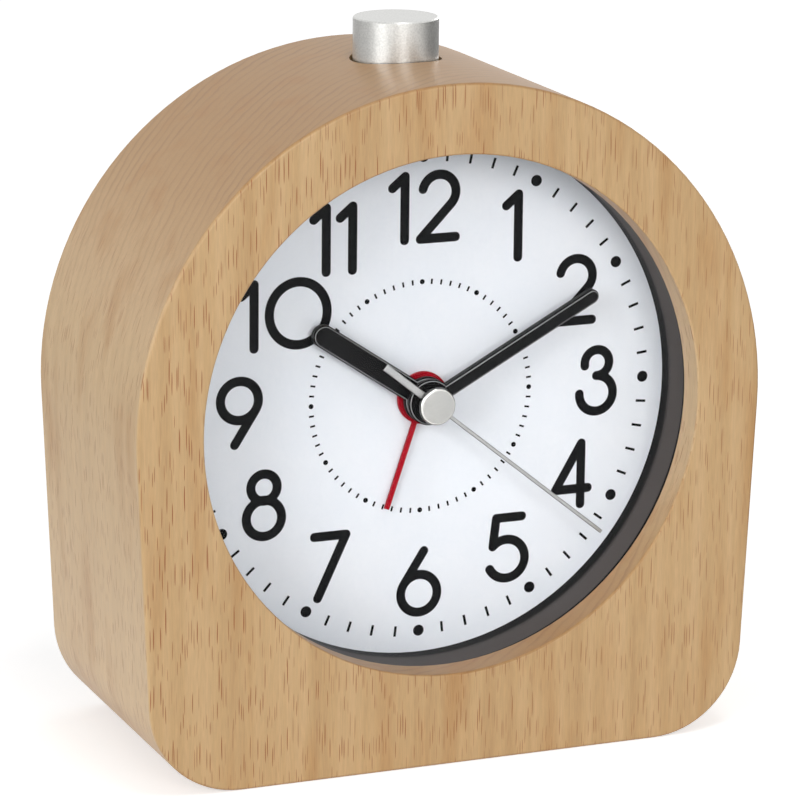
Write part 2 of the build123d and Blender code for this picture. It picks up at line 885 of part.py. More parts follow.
def add_screw(place, tip, head_near, shank_radius, head_radius, head_height):
    """Add a screw from its tip to the back of its round head, with a cross slot."""
    head_far = head_near + head_height
    slot_near = head_far - head_height * screw_slot_share
    slot_reach = head_radius * screw_slot_share
    half_slot = screw_slot_width / 2
    add_disc(shank_radius, tip, head_near, place)
    add_disc(head_radius, head_near, head_far, place)
    for across, up in ((slot_reach, half_slot), (half_slot, slot_reach)):
        add_block(
            place[0] - across,
            place[0] + across,
            place[1] - up,
            place[1] + up,
            slot_near,
            head_far,
            mode=Mode.SUBTRACT,
        )


with BuildPart() as movement_screws:
    for place in posts:
        add_screw(
            place,
            movement_screw_tip,
            cover_far,
            movement_screw,
            movement_screw_head / 2,
            movement_screw_head_height,
        )

# Alarm contact spring: a leaf riveted to the base, with its tip behind the hour wheel
with BuildPart() as alarm_contact_spring:
    with BuildSketch(depth_plane(contact_near)) as leaf:
        with BuildLine():
            Line(contact_root, contact_tip)
        trace(line_width=contact_width)
        with Locations(contact_root, contact_tip):
            Circle(contact_width / 2)
        with Locations(contact_root):
            Circle(contact_rivet_diameter / 2, mode=Mode.SUBTRACT)
    extrude(leaf.sketch, amount=-contact_thickness)

# Circuit board behind the movement
with BuildPart() as circuit_board:
    add_block(-board_half_width, board_half_width, board_bottom, board_top, board_near, board_far)

with BuildPart() as quartz_crystal:
    add_rod(
        crystal_diameter / 2,
        crystal_place[0] - crystal_length / 2,
        crystal_place[0] + crystal_length / 2,
        board_far + crystal_diameter / 2,
        crystal_place[1],
    )

with BuildPart() as clock_chip:
    add_disc(chip_diameter / 2, board_far, board_far + chip_height, chip_place)
    fillet(clock_chip.faces().sort_by(Axis.Y)[-1].edges(), chip_edge)

with BuildPart() as buzzer:
    add_disc(buzzer_diameter / 2, back_near - buzzer_height, back_near, buzzer_place)
    fillet(buzzer.faces().sort_by(Axis.Y)[0].edges(), buzzer_edge)

# Setting shafts and knobs
knob_near = back_far + knob_gap
knob_far = knob_near + knob_height
time_tooth = meshing_angle(
    motion_tooth, motion_wheel_teeth, cannon_pinion_teeth, time_shaft_direction
)
alarm_tooth = meshing_angle(
    alarm_shaft_direction, alarm_wheel_teeth, alarm_pinion_teeth, alarm_shaft_direction
)
with BuildPart() as time_setting_shaft:
    add_pinion(
        cannon_pinion_teeth,
        motion_distance,
        motion_wheel_teeth,
        time_tooth,
        motion_layer,
        time_axis,
    )
    add_disc(shaft_pivot, time_pinion_near - shaft_pivot_length, time_pinion_near, time_axis)
    add_disc(shaft_radius, motion_layer, knob_near + knob_grip_depth, time_axis)

with BuildPart() as alarm_setting_shaft:
    add_pinion(
        alarm_pinion_teeth,
        alarm_distance,
        alarm_wheel_teeth,
        alarm_tooth,
        alarm_layer,
        alarm_axis,
    )
    add_disc(shaft_pivot, base_far - blind_pivot_length, alarm_layer, alarm_axis)
    add_disc(shaft_radius, alarm_layer, knob_near + knob_grip_depth, alarm_axis)


def add_knob(place):
    """Add a fluted knob, bored for its shaft from the front."""
    with BuildSketch(depth_plane(knob_near, place)) as grip:
        Circle(knob_diameter / 2)
        with PolarLocations(knob_diameter / 2, knob_flutes):
            Circle(knob_flute_diameter / 2, mode=Mode.SUBTRACT)
    extrude(grip.sketch, amount=knob_near - knob_far)


with BuildPart() as time_setting_knob:
    add_knob(time_axis)
    chamfer(time_setting_knob.faces().sort_by(Axis.Y)[-1].edges(), knob_edge)
    add_disc(shaft_radius, knob_near, knob_near + knob_grip_depth, time_axis, mode=Mode.SUBTRACT)

with BuildPart() as alarm_setting_knob:
    add_knob(alarm_axis)
    chamfer(alarm_setting_knob.faces().sort_by(Axis.Y)[-1].edges(), knob_edge)
    add_disc(shaft_radius, knob_near, knob_near + knob_grip_depth, alarm_axis, mode=Mode.SUBTRACT)

# Back cover with its pillars, battery compartment and openings
door_axis_depth = (back_near + back_far) / 2
door_axis_height = room_bottom + free_clearance + door_thickness / 2
door_pin = door_pin_diameter / 2
door_left = room_left + door_side_gap
door_right = room_right - door_side_gap
switch_rest = -switch_travel / 2
slot_half_length = switch_travel / 2 + switch_neck[0] / 2 + switch_play
slot_half_height = switch_neck[1] / 2 + switch_play
right_pillars = [polar(bore_radius - pillar_inset, direction) for direction in pillar_directions]
pillars = [(side * place[0], place[1]) for side in (-1, 1) for place in right_pillars]
with BuildPart() as back_cover:
    add_disc(recess_radius - seat_clearance, back_near, back_far)
    add_block(
        room_left - compartment_wall,
        room_right + compartment_wall,
        room_bottom - compartment_wall,
        room_top + compartment_wall,
        room_near - compartment_wall,
        back_near,
    )
    add_block(room_left, room_right, room_bottom, room_top, room_near, back_far, mode=Mode.SUBTRACT)
    add_disc(
        finger_notch_diameter / 2,
        back_far - finger_notch_depth,
        back_far,
        (0, room_top),
        mode=Mode.SUBTRACT,
    )
    add_rod(
        door_pin + running_clearance,
        door_left - door_pin_length - door_side_gap,
        door_right + door_pin_length + door_side_gap,
        door_axis_depth,
        door_axis_height,
        mode=Mode.SUBTRACT,
    )
    for place in pillars:
        add_disc(pillar_diameter / 2, base_far, back_near, place)
    for place in (time_axis, alarm_axis):
        add_disc(shaft_radius + free_clearance, back_near, back_far, place, mode=Mode.SUBTRACT)
    for place in cover_screws:
        add_disc(screw_radius, back_near, back_far, place, mode=Mode.SUBTRACT)
    add_block(
        -slot_half_length,
        slot_half_length,
        switch_height - slot_half_height,
        switch_height + slot_half_height,
        back_near,
        back_far,
        mode=Mode.SUBTRACT,
    )
    add_disc(sound_hole_diameter / 2, back_near, back_far, buzzer_place, mode=Mode.SUBTRACT)
    for number in range(sound_hole_count):
        place = polar(sound_hole_ring, number * 360 / sound_hole_count, buzzer_place)
        add_disc(sound_hole_diameter / 2, back_near, back_far, place, mode=Mode.SUBTRACT)

with BuildPart() as back_cover_screws:
    for place in cover_screws:
        add_screw(
            place,
            cover_screw_tip,
            back_far,
            screw_radius,
            cover_screw_head / 2,
            cover_screw_head_height,
        )

# Battery with its contacts
with BuildPart() as battery:
    add_rod(
        battery_radius,
        -battery_length / 2,
        battery_length / 2 - battery_nub_length,
        battery_depth,
        battery_height,
    )
    fillet(battery.edges().filter_by(GeomType.CIRCLE), battery_edge)
    add_rod(
        battery_nub_diameter / 2,
        battery_length / 2 - battery_nub_length,
        battery_length / 2,
        battery_depth,
        battery_height,
    )

half_plate = contact_plate_size / 2
with BuildPart() as battery_positive_contact:
    add_block(
        room_right - contact_plate,
        room_right,
        battery_height - half_plate,
        battery_height + half_plate,
        battery_depth - half_plate,
        battery_depth + half_plate,
    )

spring_start = room_left + contact_plate
spring_length = -battery_length / 2 - spring_start - battery_spring_wire
with BuildPart() as battery_negative_spring:
    with BuildLine() as turns:
        Helix(
            spring_length / battery_spring_turns,
            spring_length,
            battery_spring_diameter / 2,
            center=(
                spring_start + battery_spring_wire / 4,
                front_y + battery_depth,
                dial_height + battery_height,
            ),
            direction=(1, 0, 0),
            cone_angle=-battery_spring_cone,
        )
    with BuildSketch(Plane(turns.line @ 0, z_dir=turns.line % 0)) as wire:
        Circle(battery_spring_wire / 2)
    sweep(wire.sketch, path=turns.line)
    add_block(
        room_left,
        spring_start,
        battery_height - half_plate,
        battery_height + half_plate,
        battery_depth - half_plate,
        battery_depth + half_plate,
    )

# Battery door, hinged on pins along its lower edge
door_top = room_top - door_side_gap
door_near = door_axis_depth - door_thickness / 2
with BuildPart() as battery_door:
    add_block(
        door_left, door_right, door_axis_height, door_top, door_near, door_near + door_thickness
    )
    add_rod(door_thickness / 2, door_left, door_right, door_axis_depth, door_axis_height)
    add_rod(
        door_pin,
        door_left - door_side_gap - door_pin_length,
        door_right + door_side_gap + door_pin_length,
        door_axis_depth,
        door_axis_height,
    )

# Alarm switch: a slider held in the back cover's slot, with a sprung leaf on the circuit board
slider_plate_far = back_near - switch_play
slider_plate_near = slider_plate_far - switch_plate_thickness
thumb_near = back_far + switch_play


def add_slider_block(size, near, far):
    """Add a block of the slider, centred on its rest place."""
    add_block(
        switch_rest - size[0] / 2,
        switch_rest + size[0] / 2,
        switch_height - size[1] / 2,
        switch_height + size[1] / 2,
        near,
        far,
    )


with BuildPart() as alarm_switch_slider:
    add_slider_block(switch_plate, slider_plate_near, slider_plate_far)
    add_slider_block(switch_neck, slider_plate_far, thumb_near)
    add_slider_block(switch_thumb, thumb_near, thumb_near + switch_thumb_height)

leaf_root = front_y + slider_plate_near - leaf_thickness / 2
leaf_contact = front_y + board_far + running_clearance + leaf_thickness / 2
with BuildPart() as switch_contact:
    with BuildSketch(Plane.XY.offset(dial_height + switch_height)) as leaf:
        with BuildLine():
            Polyline(
                (switch_rest - leaf_spread - leaf_foot, leaf_contact),
                (switch_rest - leaf_spread, leaf_contact),
                (switch_rest - leaf_foot, leaf_root),
                (switch_rest + leaf_foot, leaf_root),
                (switch_rest + leaf_spread, leaf_contact),
                (switch_rest + leaf_spread + leaf_foot, leaf_contact),
            )
        trace(line_width=leaf_thickness)
    extrude(leaf.sketch, amount=leaf_width / 2, both=True)

# Snooze button: cap, stem, bush, clip and spring on one upright axis
button_top = arch_top + button_height
flange_top = pocket_floor + bush_flange_thickness
button_bottom = flange_top + stop_gap + button_travel
cavity_top = button_top - button_crown
stem_radius = stem_diameter / 2
bush_end = bore_top - bush_overhang
clip_top = bush_end - clip_play
clip_bottom = clip_top - clip_thickness
switch_base = dial_height + cover_top
switch_top = switch_base + switch_body_height
stem_bottom = switch_top + button_travel + stop_gap
with BuildPart() as snooze_button:
    add_upright(button_radius, button_bottom, button_top)
    chamfer(snooze_button.faces().sort_by(Axis.Z)[-1].edges(), button_edge)
    add_upright(button_radius - button_wall, button_bottom, cavity_top, mode=Mode.SUBTRACT)
    add_upright(button_boss_diameter / 2, button_bottom, cavity_top)
    add_upright(stem_radius, button_bottom, cavity_top + stem_grip, mode=Mode.SUBTRACT)

with BuildPart() as button_stem:
    add_upright(stem_radius, stem_bottom, cavity_top + stem_grip)
    with BuildSketch(Plane(origin=(0, button_setback, clip_bottom))) as groove:
        Circle(stem_radius)
        Circle(clip_groove_diameter / 2, mode=Mode.SUBTRACT)
    extrude(groove.sketch, amount=clip_thickness, mode=Mode.SUBTRACT)

with BuildPart() as button_bush:
    add_upright(bush_flange_diameter / 2, pocket_floor, flange_top)
    add_upright(bush_sleeve_diameter / 2, bush_end, pocket_floor)
    add_upright(stem_radius + running_clearance, bush_end, flange_top, mode=Mode.SUBTRACT)

with BuildPart() as button_clip:
    with BuildSketch(Plane(origin=(0, button_setback, clip_bottom))) as ring:
        Circle(clip_diameter / 2)
        Circle(clip_groove_diameter / 2, mode=Mode.SUBTRACT)
        with Locations((0, clip_diameter / 4)):
            Rectangle(clip_mouth, clip_diameter / 2, mode=Mode.SUBTRACT)
    extrude(ring.sketch, amount=clip_thickness)

spring_rise = cavity_top - flange_top - spring_wire - 2 * spring_seat
with BuildPart() as button_spring:
    with BuildLine() as turns:
        Helix(
            spring_rise / spring_turns,
            spring_rise,
            spring_diameter / 2,
            center=(0, button_setback, flange_top + spring_wire / 2 + spring_seat),
        )
    with BuildSketch(Plane(turns.line @ 0, z_dir=turns.line % 0)) as wire:
        Circle(spring_wire / 2)
    sweep(wire.sketch, path=turns.line)

# Snooze switch that the stem pushes
plunger_bottom = switch_top - plunger_depth
plunger_bore = plunger_diameter / 2 + running_clearance
with BuildPart() as snooze_switch:
    with BuildSketch(Plane(origin=(0, button_setback, switch_base))) as body:
        Rectangle(switch_body_size, switch_body_size)
    extrude(body.sketch, amount=switch_body_height)
    add_upright(plunger_bore, plunger_bottom - button_travel - stop_gap, switch_top, mode=Mode.SUBTRACT)

with BuildPart() as snooze_switch_plunger:
    add_upright(plunger_diameter / 2, plunger_bottom, stem_bottom)


pieces = {
    "wooden_case": wooden_case,
    "lens": lens,
    "rim_ring": rim_ring,
    "dial": dial,
    "alarm_hand": alarm_hand,
    "hour_hand": hour_hand,
    "minute_hand": minute_hand,
    "second_hand": second_hand,
    "second_hand_cap": second_hand_cap,
    "alarm_wheel": alarm_wheel,
    "hour_wheel": hour_wheel,
    "cannon_pinion": cannon_pinion,
    "centre_wheel": centre_wheel,
    "second_wheel": second_wheel,
    "third_wheel": third_wheel,
    "motion_wheel": motion_wheel,
    "intermediate_wheel": intermediate_wheel,
    "rotor": rotor,
    "rotor_magnet": rotor_magnet,
    "stator": stator,
    "coil_core": coil_core,
    "coil_bobbin": coil_bobbin,
    "coil_winding": coil_winding,
    "movement_base": movement_base,
    "movement_bridge": movement_bridge,
    "movement_cover": movement_cover,
    "movement_screws": movement_screws,
    "alarm_contact_spring": alarm_contact_spring,
    "circuit_board": circuit_board,
    "quartz_crystal": quartz_crystal,
    "clock_chip": clock_chip,
    "buzzer": buzzer,
    "time_setting_shaft": time_setting_shaft,
    "time_setting_knob": time_setting_knob,
    "alarm_setting_shaft": alarm_setting_shaft,
    "alarm_setting_knob": alarm_setting_knob,
    "back_cover": back_cover,
    "back_cover_screws": back_cover_screws,
    "battery": battery,
    "battery_positive_contact": battery_positive_contact,
    "battery_negative_spring": battery_negative_spring,
    "battery_door": battery_door,
    "alarm_switch_slider": alarm_switch_slider,
    "switch_contact": switch_contact,
    "snooze_button": snooze_button,
    "button_stem": button_stem,
    "button_bush": button_bush,
    "button_clip": button_clip,
    "button_spring": button_spring,
    "snooze_switch": snooze_switch,
    "snooze_switch_plunger": snooze_switch_plunger,
}

os.makedirs("parts", exist_ok=True)
for node, piece in pieces.items():
    piece.part.label = node
    export_step(piece.part, f"parts/{node}.step")
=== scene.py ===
# %% [markdown]
# # An arched beech alarm clock
# A CAD program has already built this clock, piece by piece, and packed it as a frame of named nodes.
# Here each node gets its real finish, the dial gets its print, and a camera and soft lights are set up.
# A node's place is never changed, so the clock keeps its true size, and every piece moves with its body.

import math

import bpy
import numpy as np
from mathutils import Matrix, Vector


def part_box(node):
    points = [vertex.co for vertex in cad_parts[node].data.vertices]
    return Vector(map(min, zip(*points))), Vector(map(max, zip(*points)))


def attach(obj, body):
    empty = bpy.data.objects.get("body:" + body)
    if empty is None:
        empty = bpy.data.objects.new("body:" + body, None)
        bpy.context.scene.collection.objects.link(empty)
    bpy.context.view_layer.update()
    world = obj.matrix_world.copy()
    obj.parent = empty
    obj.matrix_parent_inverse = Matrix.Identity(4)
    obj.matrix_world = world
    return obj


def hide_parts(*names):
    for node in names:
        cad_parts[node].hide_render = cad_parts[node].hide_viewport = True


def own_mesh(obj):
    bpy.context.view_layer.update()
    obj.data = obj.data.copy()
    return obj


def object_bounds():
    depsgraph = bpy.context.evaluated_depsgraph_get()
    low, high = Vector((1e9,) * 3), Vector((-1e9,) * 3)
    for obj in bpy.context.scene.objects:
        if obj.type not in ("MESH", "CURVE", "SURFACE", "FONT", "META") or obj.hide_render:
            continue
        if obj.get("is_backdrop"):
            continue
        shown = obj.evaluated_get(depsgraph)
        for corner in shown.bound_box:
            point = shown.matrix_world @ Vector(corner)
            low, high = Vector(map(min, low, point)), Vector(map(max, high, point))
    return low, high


MM = 0.001
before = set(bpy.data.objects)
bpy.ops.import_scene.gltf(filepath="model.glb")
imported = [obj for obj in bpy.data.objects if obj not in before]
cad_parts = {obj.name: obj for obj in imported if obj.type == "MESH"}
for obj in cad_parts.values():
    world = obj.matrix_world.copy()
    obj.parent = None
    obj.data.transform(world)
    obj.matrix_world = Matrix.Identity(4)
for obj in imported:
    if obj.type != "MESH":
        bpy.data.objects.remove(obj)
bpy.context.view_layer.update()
print("CAD nodes:", len(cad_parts))

# %% [markdown]
# ## Camera
# A product picture like this is taken with a long lens, here from two thirds of a metre, so that lines which
# run back draw together only a little. The camera could be aimed with a constraint, but that leaves out its
# roll. Three plain turns say it all: a roll about its own axis, a tilt down, and a swing to the right.

# %% Camera
CAMERA_PLACE_MM = (-237.43, -578.08, 211.62)
CAMERA_SWING = -22.358
CAMERA_TILT = 14.392
CAMERA_ROLL = 0.576
LENS_MM = 189.43
SENSOR_MM = 36.0
NEAREST, FARTHEST = 0.05, 20.0


def turn(degrees, axis):
    """A turn about one axis, as a 4 by 4 matrix."""
    return Matrix.Rotation(math.radians(degrees), 4, axis)


scene = bpy.context.scene
scene.view_settings.view_transform = "Standard"
camera = bpy.data.objects.new("camera", bpy.data.cameras.new("camera"))
camera.data.lens = LENS_MM
camera.data.sensor_width = SENSOR_MM
camera.data.clip_start = NEAREST
camera.data.clip_end = FARTHEST
camera.matrix_world = (
    Matrix.Translation([v * MM for v in CAMERA_PLACE_MM])
    @ turn(CAMERA_SWING, "Z")
    @ turn(90 - CAMERA_TILT, "X")
    @ turn(CAMERA_ROLL, "Z")
)
scene.collection.objects.link(camera)
scene.camera = camera
print("Camera distance in mm:", round(camera.location.length / MM))

# %% [markdown]
# ## Colours, nodes and meshes
# Colours are written as the sRGB hex values that a paint program shows, but shaders work in linear light,
# so one function turns each value. One more adds a shader node with its settings and links. Patterns are
# sized in millimetres: a texture that repeats once per unit is divided by the real size of its grain.


# %% Helpers for materials
def linear(code):
    """The linear RGBA of an sRGB hex value: low values divide by 12.92, the rest follow a power of 2.4."""
    srgb = np.array([int(code[i : i + 2], 16) for i in (1, 3, 5)]) / 255
    light = np.where(srgb <= 0.04045, srgb / 12.92, ((srgb + 0.055) / 1.055) ** 2.4)
    return (*light.tolist(), 1.0)


def per_mm(x, y, z):
    """The mapping scale at which a pattern's unit is x, y and z millimetres long."""
    return (1 / (x * MM), 1 / (y * MM), 1 / (z * MM))


def add_node(tree, kind, inputs=None, stops=None, **settings):
    """Add a shader node, set its properties and sockets, link the sockets given, and fill its ramp."""
    node = tree.nodes.new("ShaderNode" + kind)
    for name, value in settings.items():
        setattr(node, name, value)
    for name, value in (inputs or {}).items():
        if isinstance(value, bpy.types.NodeSocket):
            tree.links.new(value, node.inputs[name])
        else:
            node.inputs[name].default_value = value
    for number, (position, code) in enumerate(stops or []):
        elements = node.color_ramp.elements
        stop = elements[number] if number < 2 else elements.new(position)
        stop.position = position
        stop.color = linear(code)
    return node


def start_material(name, roughness, metallic=0.0, **constants):
    """A new material, with its tree, its main shader and the Object coordinates of the piece."""
    material = bpy.data.materials.new(name)
    material.use_nodes = True
    tree = material.node_tree
    shader = tree.nodes["Principled BSDF"]
    shader.inputs["Roughness"].default_value = roughness
    shader.inputs["Metallic"].default_value = metallic
    for socket, value in constants.items():
        shader.inputs[socket.replace("_", " ")].default_value = value
    coordinates = add_node(tree, "TexCoord")
    return material, tree, shader, coordinates


def give(material, *names):
    """Put a material on CAD nodes."""
    for name in names:
        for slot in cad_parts[name].material_slots:
            slot.material = material
    print(material.name, "on", ", ".join(names))


print("Mid grey is", round(linear("#808080")[0], 3), "in linear light")

# %% [markdown]
# ## Floor, background and light
# The picture has a white background and even, almost shadowless light from large soft lamps. The world is
# white to the eye and in reflections, but lights the clock with less, and the lamps do the rest. The floor
# could be lit until it is white, but then the clock would burn out too. So it adds a share of white that
# only the eye and reflections get: its lit part is white, and the soft shadow stays.

# %% World
WORLD_LIGHT = 0.37
WHITE = "#FFFFFF"


def rays_of_the_eye(tree):
    """1 for rays that the eye follows, straight, mirrored or through glass, and 0 for those that light."""
    path = add_node(tree, "LightPath")
    seen = path.outputs["Is Camera Ray"]
    for ray in ("Is Glossy Ray", "Is Transmission Ray"):
        seen = add_node(tree, "Math", {0: seen, 1: path.outputs[ray]}, operation="MAXIMUM").outputs[0]
    # Only with no matt surface on the way
    direct = add_node(tree, "Math", {0: path.outputs["Diffuse Depth"], 1: 0.5}, operation="LESS_THAN")
    return add_node(tree, "Math", {0: seen, 1: direct.outputs[0]}, operation="MULTIPLY").outputs[0]


world = bpy.data.worlds.new("white studio")
world.use_nodes = True
scene.world = world
sky = world.node_tree
strength = add_node(
    sky, "MapRange", {"Value": rays_of_the_eye(sky), "To Min": WORLD_LIGHT, "To Max": 1.0}
)
background = sky.nodes["Background"]
background.inputs["Color"].default_value = linear(WHITE)
sky.links.new(strength.outputs["Result"], background.inputs["Strength"])
print("World light:", WORLD_LIGHT)

# %% Floor
FLOOR_SIZE = 6.0
FLOOR_GLOW = 0.55
PAPER_CLOUD_MM = 12
# Uncoated paper: matt from every side, with no shine and hardly any clouds
floor_material, tree, shader, coordinates = start_material(
    "matt white paper sweep", 0.9, Specular_IOR_Level=0.0
)
grain = add_node(
    tree,
    "TexNoise",
    {"Vector": coordinates.outputs["Object"], "Scale": 1 / (PAPER_CLOUD_MM * MM), "Detail": 2.0},
)
paper = add_node(
    tree, "ValToRGB", {"Fac": grain.outputs["Fac"]}, stops=[(0.3, "#EFEFEF"), (0.7, "#F2F2F2")]
)
tree.links.new(paper.outputs["Color"], shader.inputs["Base Color"])
glow = add_node(tree, "Math", {0: rays_of_the_eye(tree), 1: FLOOR_GLOW}, operation="MULTIPLY")
shader.inputs["Emission Color"].default_value = linear(WHITE)
tree.links.new(glow.outputs[0], shader.inputs["Emission Strength"])

corners = np.array([[-1, -1, 0], [1, -1, 0], [1, 1, 0], [-1, 1, 0]]) * FLOOR_SIZE / 2
floor_mesh = bpy.data.meshes.new("floor")
floor_mesh.from_pydata(corners.tolist(), [], [[0, 1, 2, 3]])
floor_mesh.materials.append(floor_material)
floor = bpy.data.objects.new("floor", floor_mesh)
scene.collection.objects.link(floor)
floor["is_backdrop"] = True
print("Floor, metres across:", FLOOR_SIZE)


# %% Lamps
def add_lamp(name, place, target, size, power):
    """A square area lamp at a place, facing a target, in metres and watts."""
    lamp = bpy.data.lights.new(name, "AREA")
    lamp.size = size
    lamp.energy = power
    holder = bpy.data.objects.new(name, lamp)
    aim = np.array(target) - np.array(place)
    facing = Matrix.Identity(3)
    facing.col[2] = (-aim / np.linalg.norm(aim)).tolist()
    facing.col[0] = np.cross((0, 0, 1), facing.col[2]).tolist()
    facing.col[0].normalize()
    facing.col[1] = np.cross(facing.col[2], facing.col[0]).tolist()
    holder.matrix_world = Matrix.Translation(place) @ facing.to_4x4()
    scene.collection.objects.link(holder)


CLOCK_MIDDLE = (0.0, 0.0, 0.055)
# The place and width of each lamp in metres, and its power in watts
LAMPS = {
    "key softbox": ((-1.25, -0.7, 0.5), 0.8, 7.9),
    "fill softbox": ((-0.05, -1.3, 0.42), 0.6, 4.4),
    "top softbox": ((0.05, -0.4, 1.1), 0.22, 1.6),
    "back softbox": ((1.15, 0.85, 0.3), 0.6, 4.2),
}
for name, (place, width, power) in LAMPS.items():
    add_lamp(name, place, CLOCK_MIDDLE, width, power)
print("Lamps:", ", ".join(LAMPS))

# %% [markdown]
# ### Two cards
# Metal and lacquer show their surroundings, and in an all-white room they would look flat. A photographer
# lays a black card on one side for a dark edge, and a pale one on the other, which doesn't shine as the
# floor does. Here both show only in reflections, so they take no light from the clock.

# %% Cards
CARD_LIFT = 0.5 * MM
NAP_MM = 2.0
BLACK_CORNERS = ((0.20, -0.33), (1.10, -0.33), (1.10, 0.90), (0.0, 0.90))
GREY_CORNERS = ((-1.10, -0.10), (-0.085, -0.10), (-0.085, 1.10), (-1.10, 1.10))
for name, low, high, outline in (
    # Felt: swallows light, so that metal shows a dark edge
    ("black felt card", "#101010", "#1C1C1C", BLACK_CORNERS),
    # Plain paper: matt, and greyer than the shining floor
    ("grey paper card", "#EBEBEB", "#F2F2F2", GREY_CORNERS),
):
    surface, tree, shader, coordinates = start_material(name, 0.95)
    nap = add_node(
        tree,
        "TexNoise",
        {"Vector": coordinates.outputs["Object"], "Scale": 1 / (NAP_MM * MM), "Detail": 2.0},
    )
    shade = add_node(tree, "ValToRGB", {"Fac": nap.outputs["Fac"]}, stops=[(0.3, low), (0.7, high)])
    tree.links.new(shade.outputs["Color"], shader.inputs["Base Color"])
    mesh = bpy.data.meshes.new(name)
    mesh.from_pydata([(x, y, CARD_LIFT) for x, y in outline], [], [[0, 1, 2, 3]])
    mesh.materials.append(surface)
    sheet = bpy.data.objects.new(name.replace(" ", "_"), mesh)
    for ray in ("camera", "diffuse", "transmission", "shadow", "volume_scatter"):
        setattr(sheet, "visible_" + ray, False)
    scene.collection.objects.link(sheet)
    sheet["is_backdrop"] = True
    print(name, "with corners at", outline, "metres")

# %% [markdown]
# ## Beech, planed, sanded and lacquered
# The case is cut from beech with its fibres upright. The front is a flat-sawn face: the wood's rays end on
# it as short dark dashes, fainter to the right. The sides and the arch cut through the year rings, which
# show as fine slanting lines that run on over the top. An image could carry all that, but it would stretch
# round the arch, so the wood is a solid pattern in the clock's own coordinates: each face shows its own
# cut through it.

# %% Beech: fibres, streaks and year rings
# Sanded beech under satin lacquer: fine upright fibres, and a soft shine that isn't wet
beech, tree, shader, coordinates = start_material(
    "satin lacquered beech", 0.42, Coat_Weight=0.15, Coat_Roughness=0.32
)
spot = coordinates.outputs["Object"]
# How far a patch of each noise reaches across, back and up, in millimetres, and its detail
GRAIN_MM = {
    "fibre": ((0.22, 0.22, 3.0), 2.0),
    "streak": ((2.2, 2.2, 60), 2.0),
    "wander": ((30, 55, 110), 1.0),
    "ripple": ((4, 6, 5), 2.0),
    "patch": ((9, 5, 12), 1.0),
    "cloud": ((4.5, 7, 32), 2.0),
}
beech_grain = {}
for name, (size, detail) in GRAIN_MM.items():
    sized = add_node(tree, "Mapping", {"Vector": spot, "Scale": per_mm(*size)})
    beech_grain[name] = add_node(
        tree,
        "TexNoise",
        {"Vector": sized.outputs["Vector"], "Scale": 1.0, "Detail": detail, "Roughness": 0.55},
    ).outputs["Fac"]
axes = add_node(tree, "SeparateXYZ", {"Vector": spot})
RING_MM = 2.0
RING_SHIFTS = {"wander": 3.0, "ripple": 0.9}
RING_TURN = math.radians(29)
backward = math.cos(RING_TURN) / (RING_MM * MM)
sideways = -math.sin(RING_TURN) / (RING_MM * MM)
years = add_node(tree, "Math", {0: axes.outputs["Y"], 1: backward}, operation="MULTIPLY")
shifts = [(beech_grain[name], share) for name, share in RING_SHIFTS.items()]
for value, share in [(axes.outputs["X"], sideways), *shifts]:
    years = add_node(
        tree, "Math", {0: value, 1: share, 2: years.outputs[0]}, operation="MULTIPLY_ADD"
    )
year = add_node(tree, "Math", {0: years.outputs[0]}, operation="FRACT")
late_wood = add_node(
    tree,
    "ValToRGB",
    {"Fac": year.outputs[0]},
    stops=[(0.0, "#000000"), (1.0, "#000000"), (0.55, "#202020"), (0.90, "#FFFFFF")],
)
# Late wood fades here and there
faded = add_node(
    tree,
    "MapRange",
    {"Value": beech_grain["patch"], "From Min": 0.35, "From Max": 0.65, "To Min": 0.25, "To Max": 1.0},
)
late_wood = add_node(
    tree, "Math", {0: late_wood.outputs["Color"], 1: faded.outputs["Result"]}, operation="MULTIPLY"
)
print("Year rings every", RING_MM, "mm, turned by", round(math.degrees(RING_TURN)), "degrees")

# %% Beech: the dashes that the rays leave
# The least and the most of a cell that a dash fills, and how wide and long a cell is
DASH_SHORT, DASH_LONG = 0.11, 0.26
DASH_EDGE = 0.7
DASH_RIPPLE = 0.5
FRONT_CELL_MM = (0.38, 9.5)
SIDE_CELL_MM = (0.48, 6.5)
SIDE_LEAST, DARKEST = 0.1, 0.75
FADE_X = 50 * MM
FADE_SHARE = 0.6


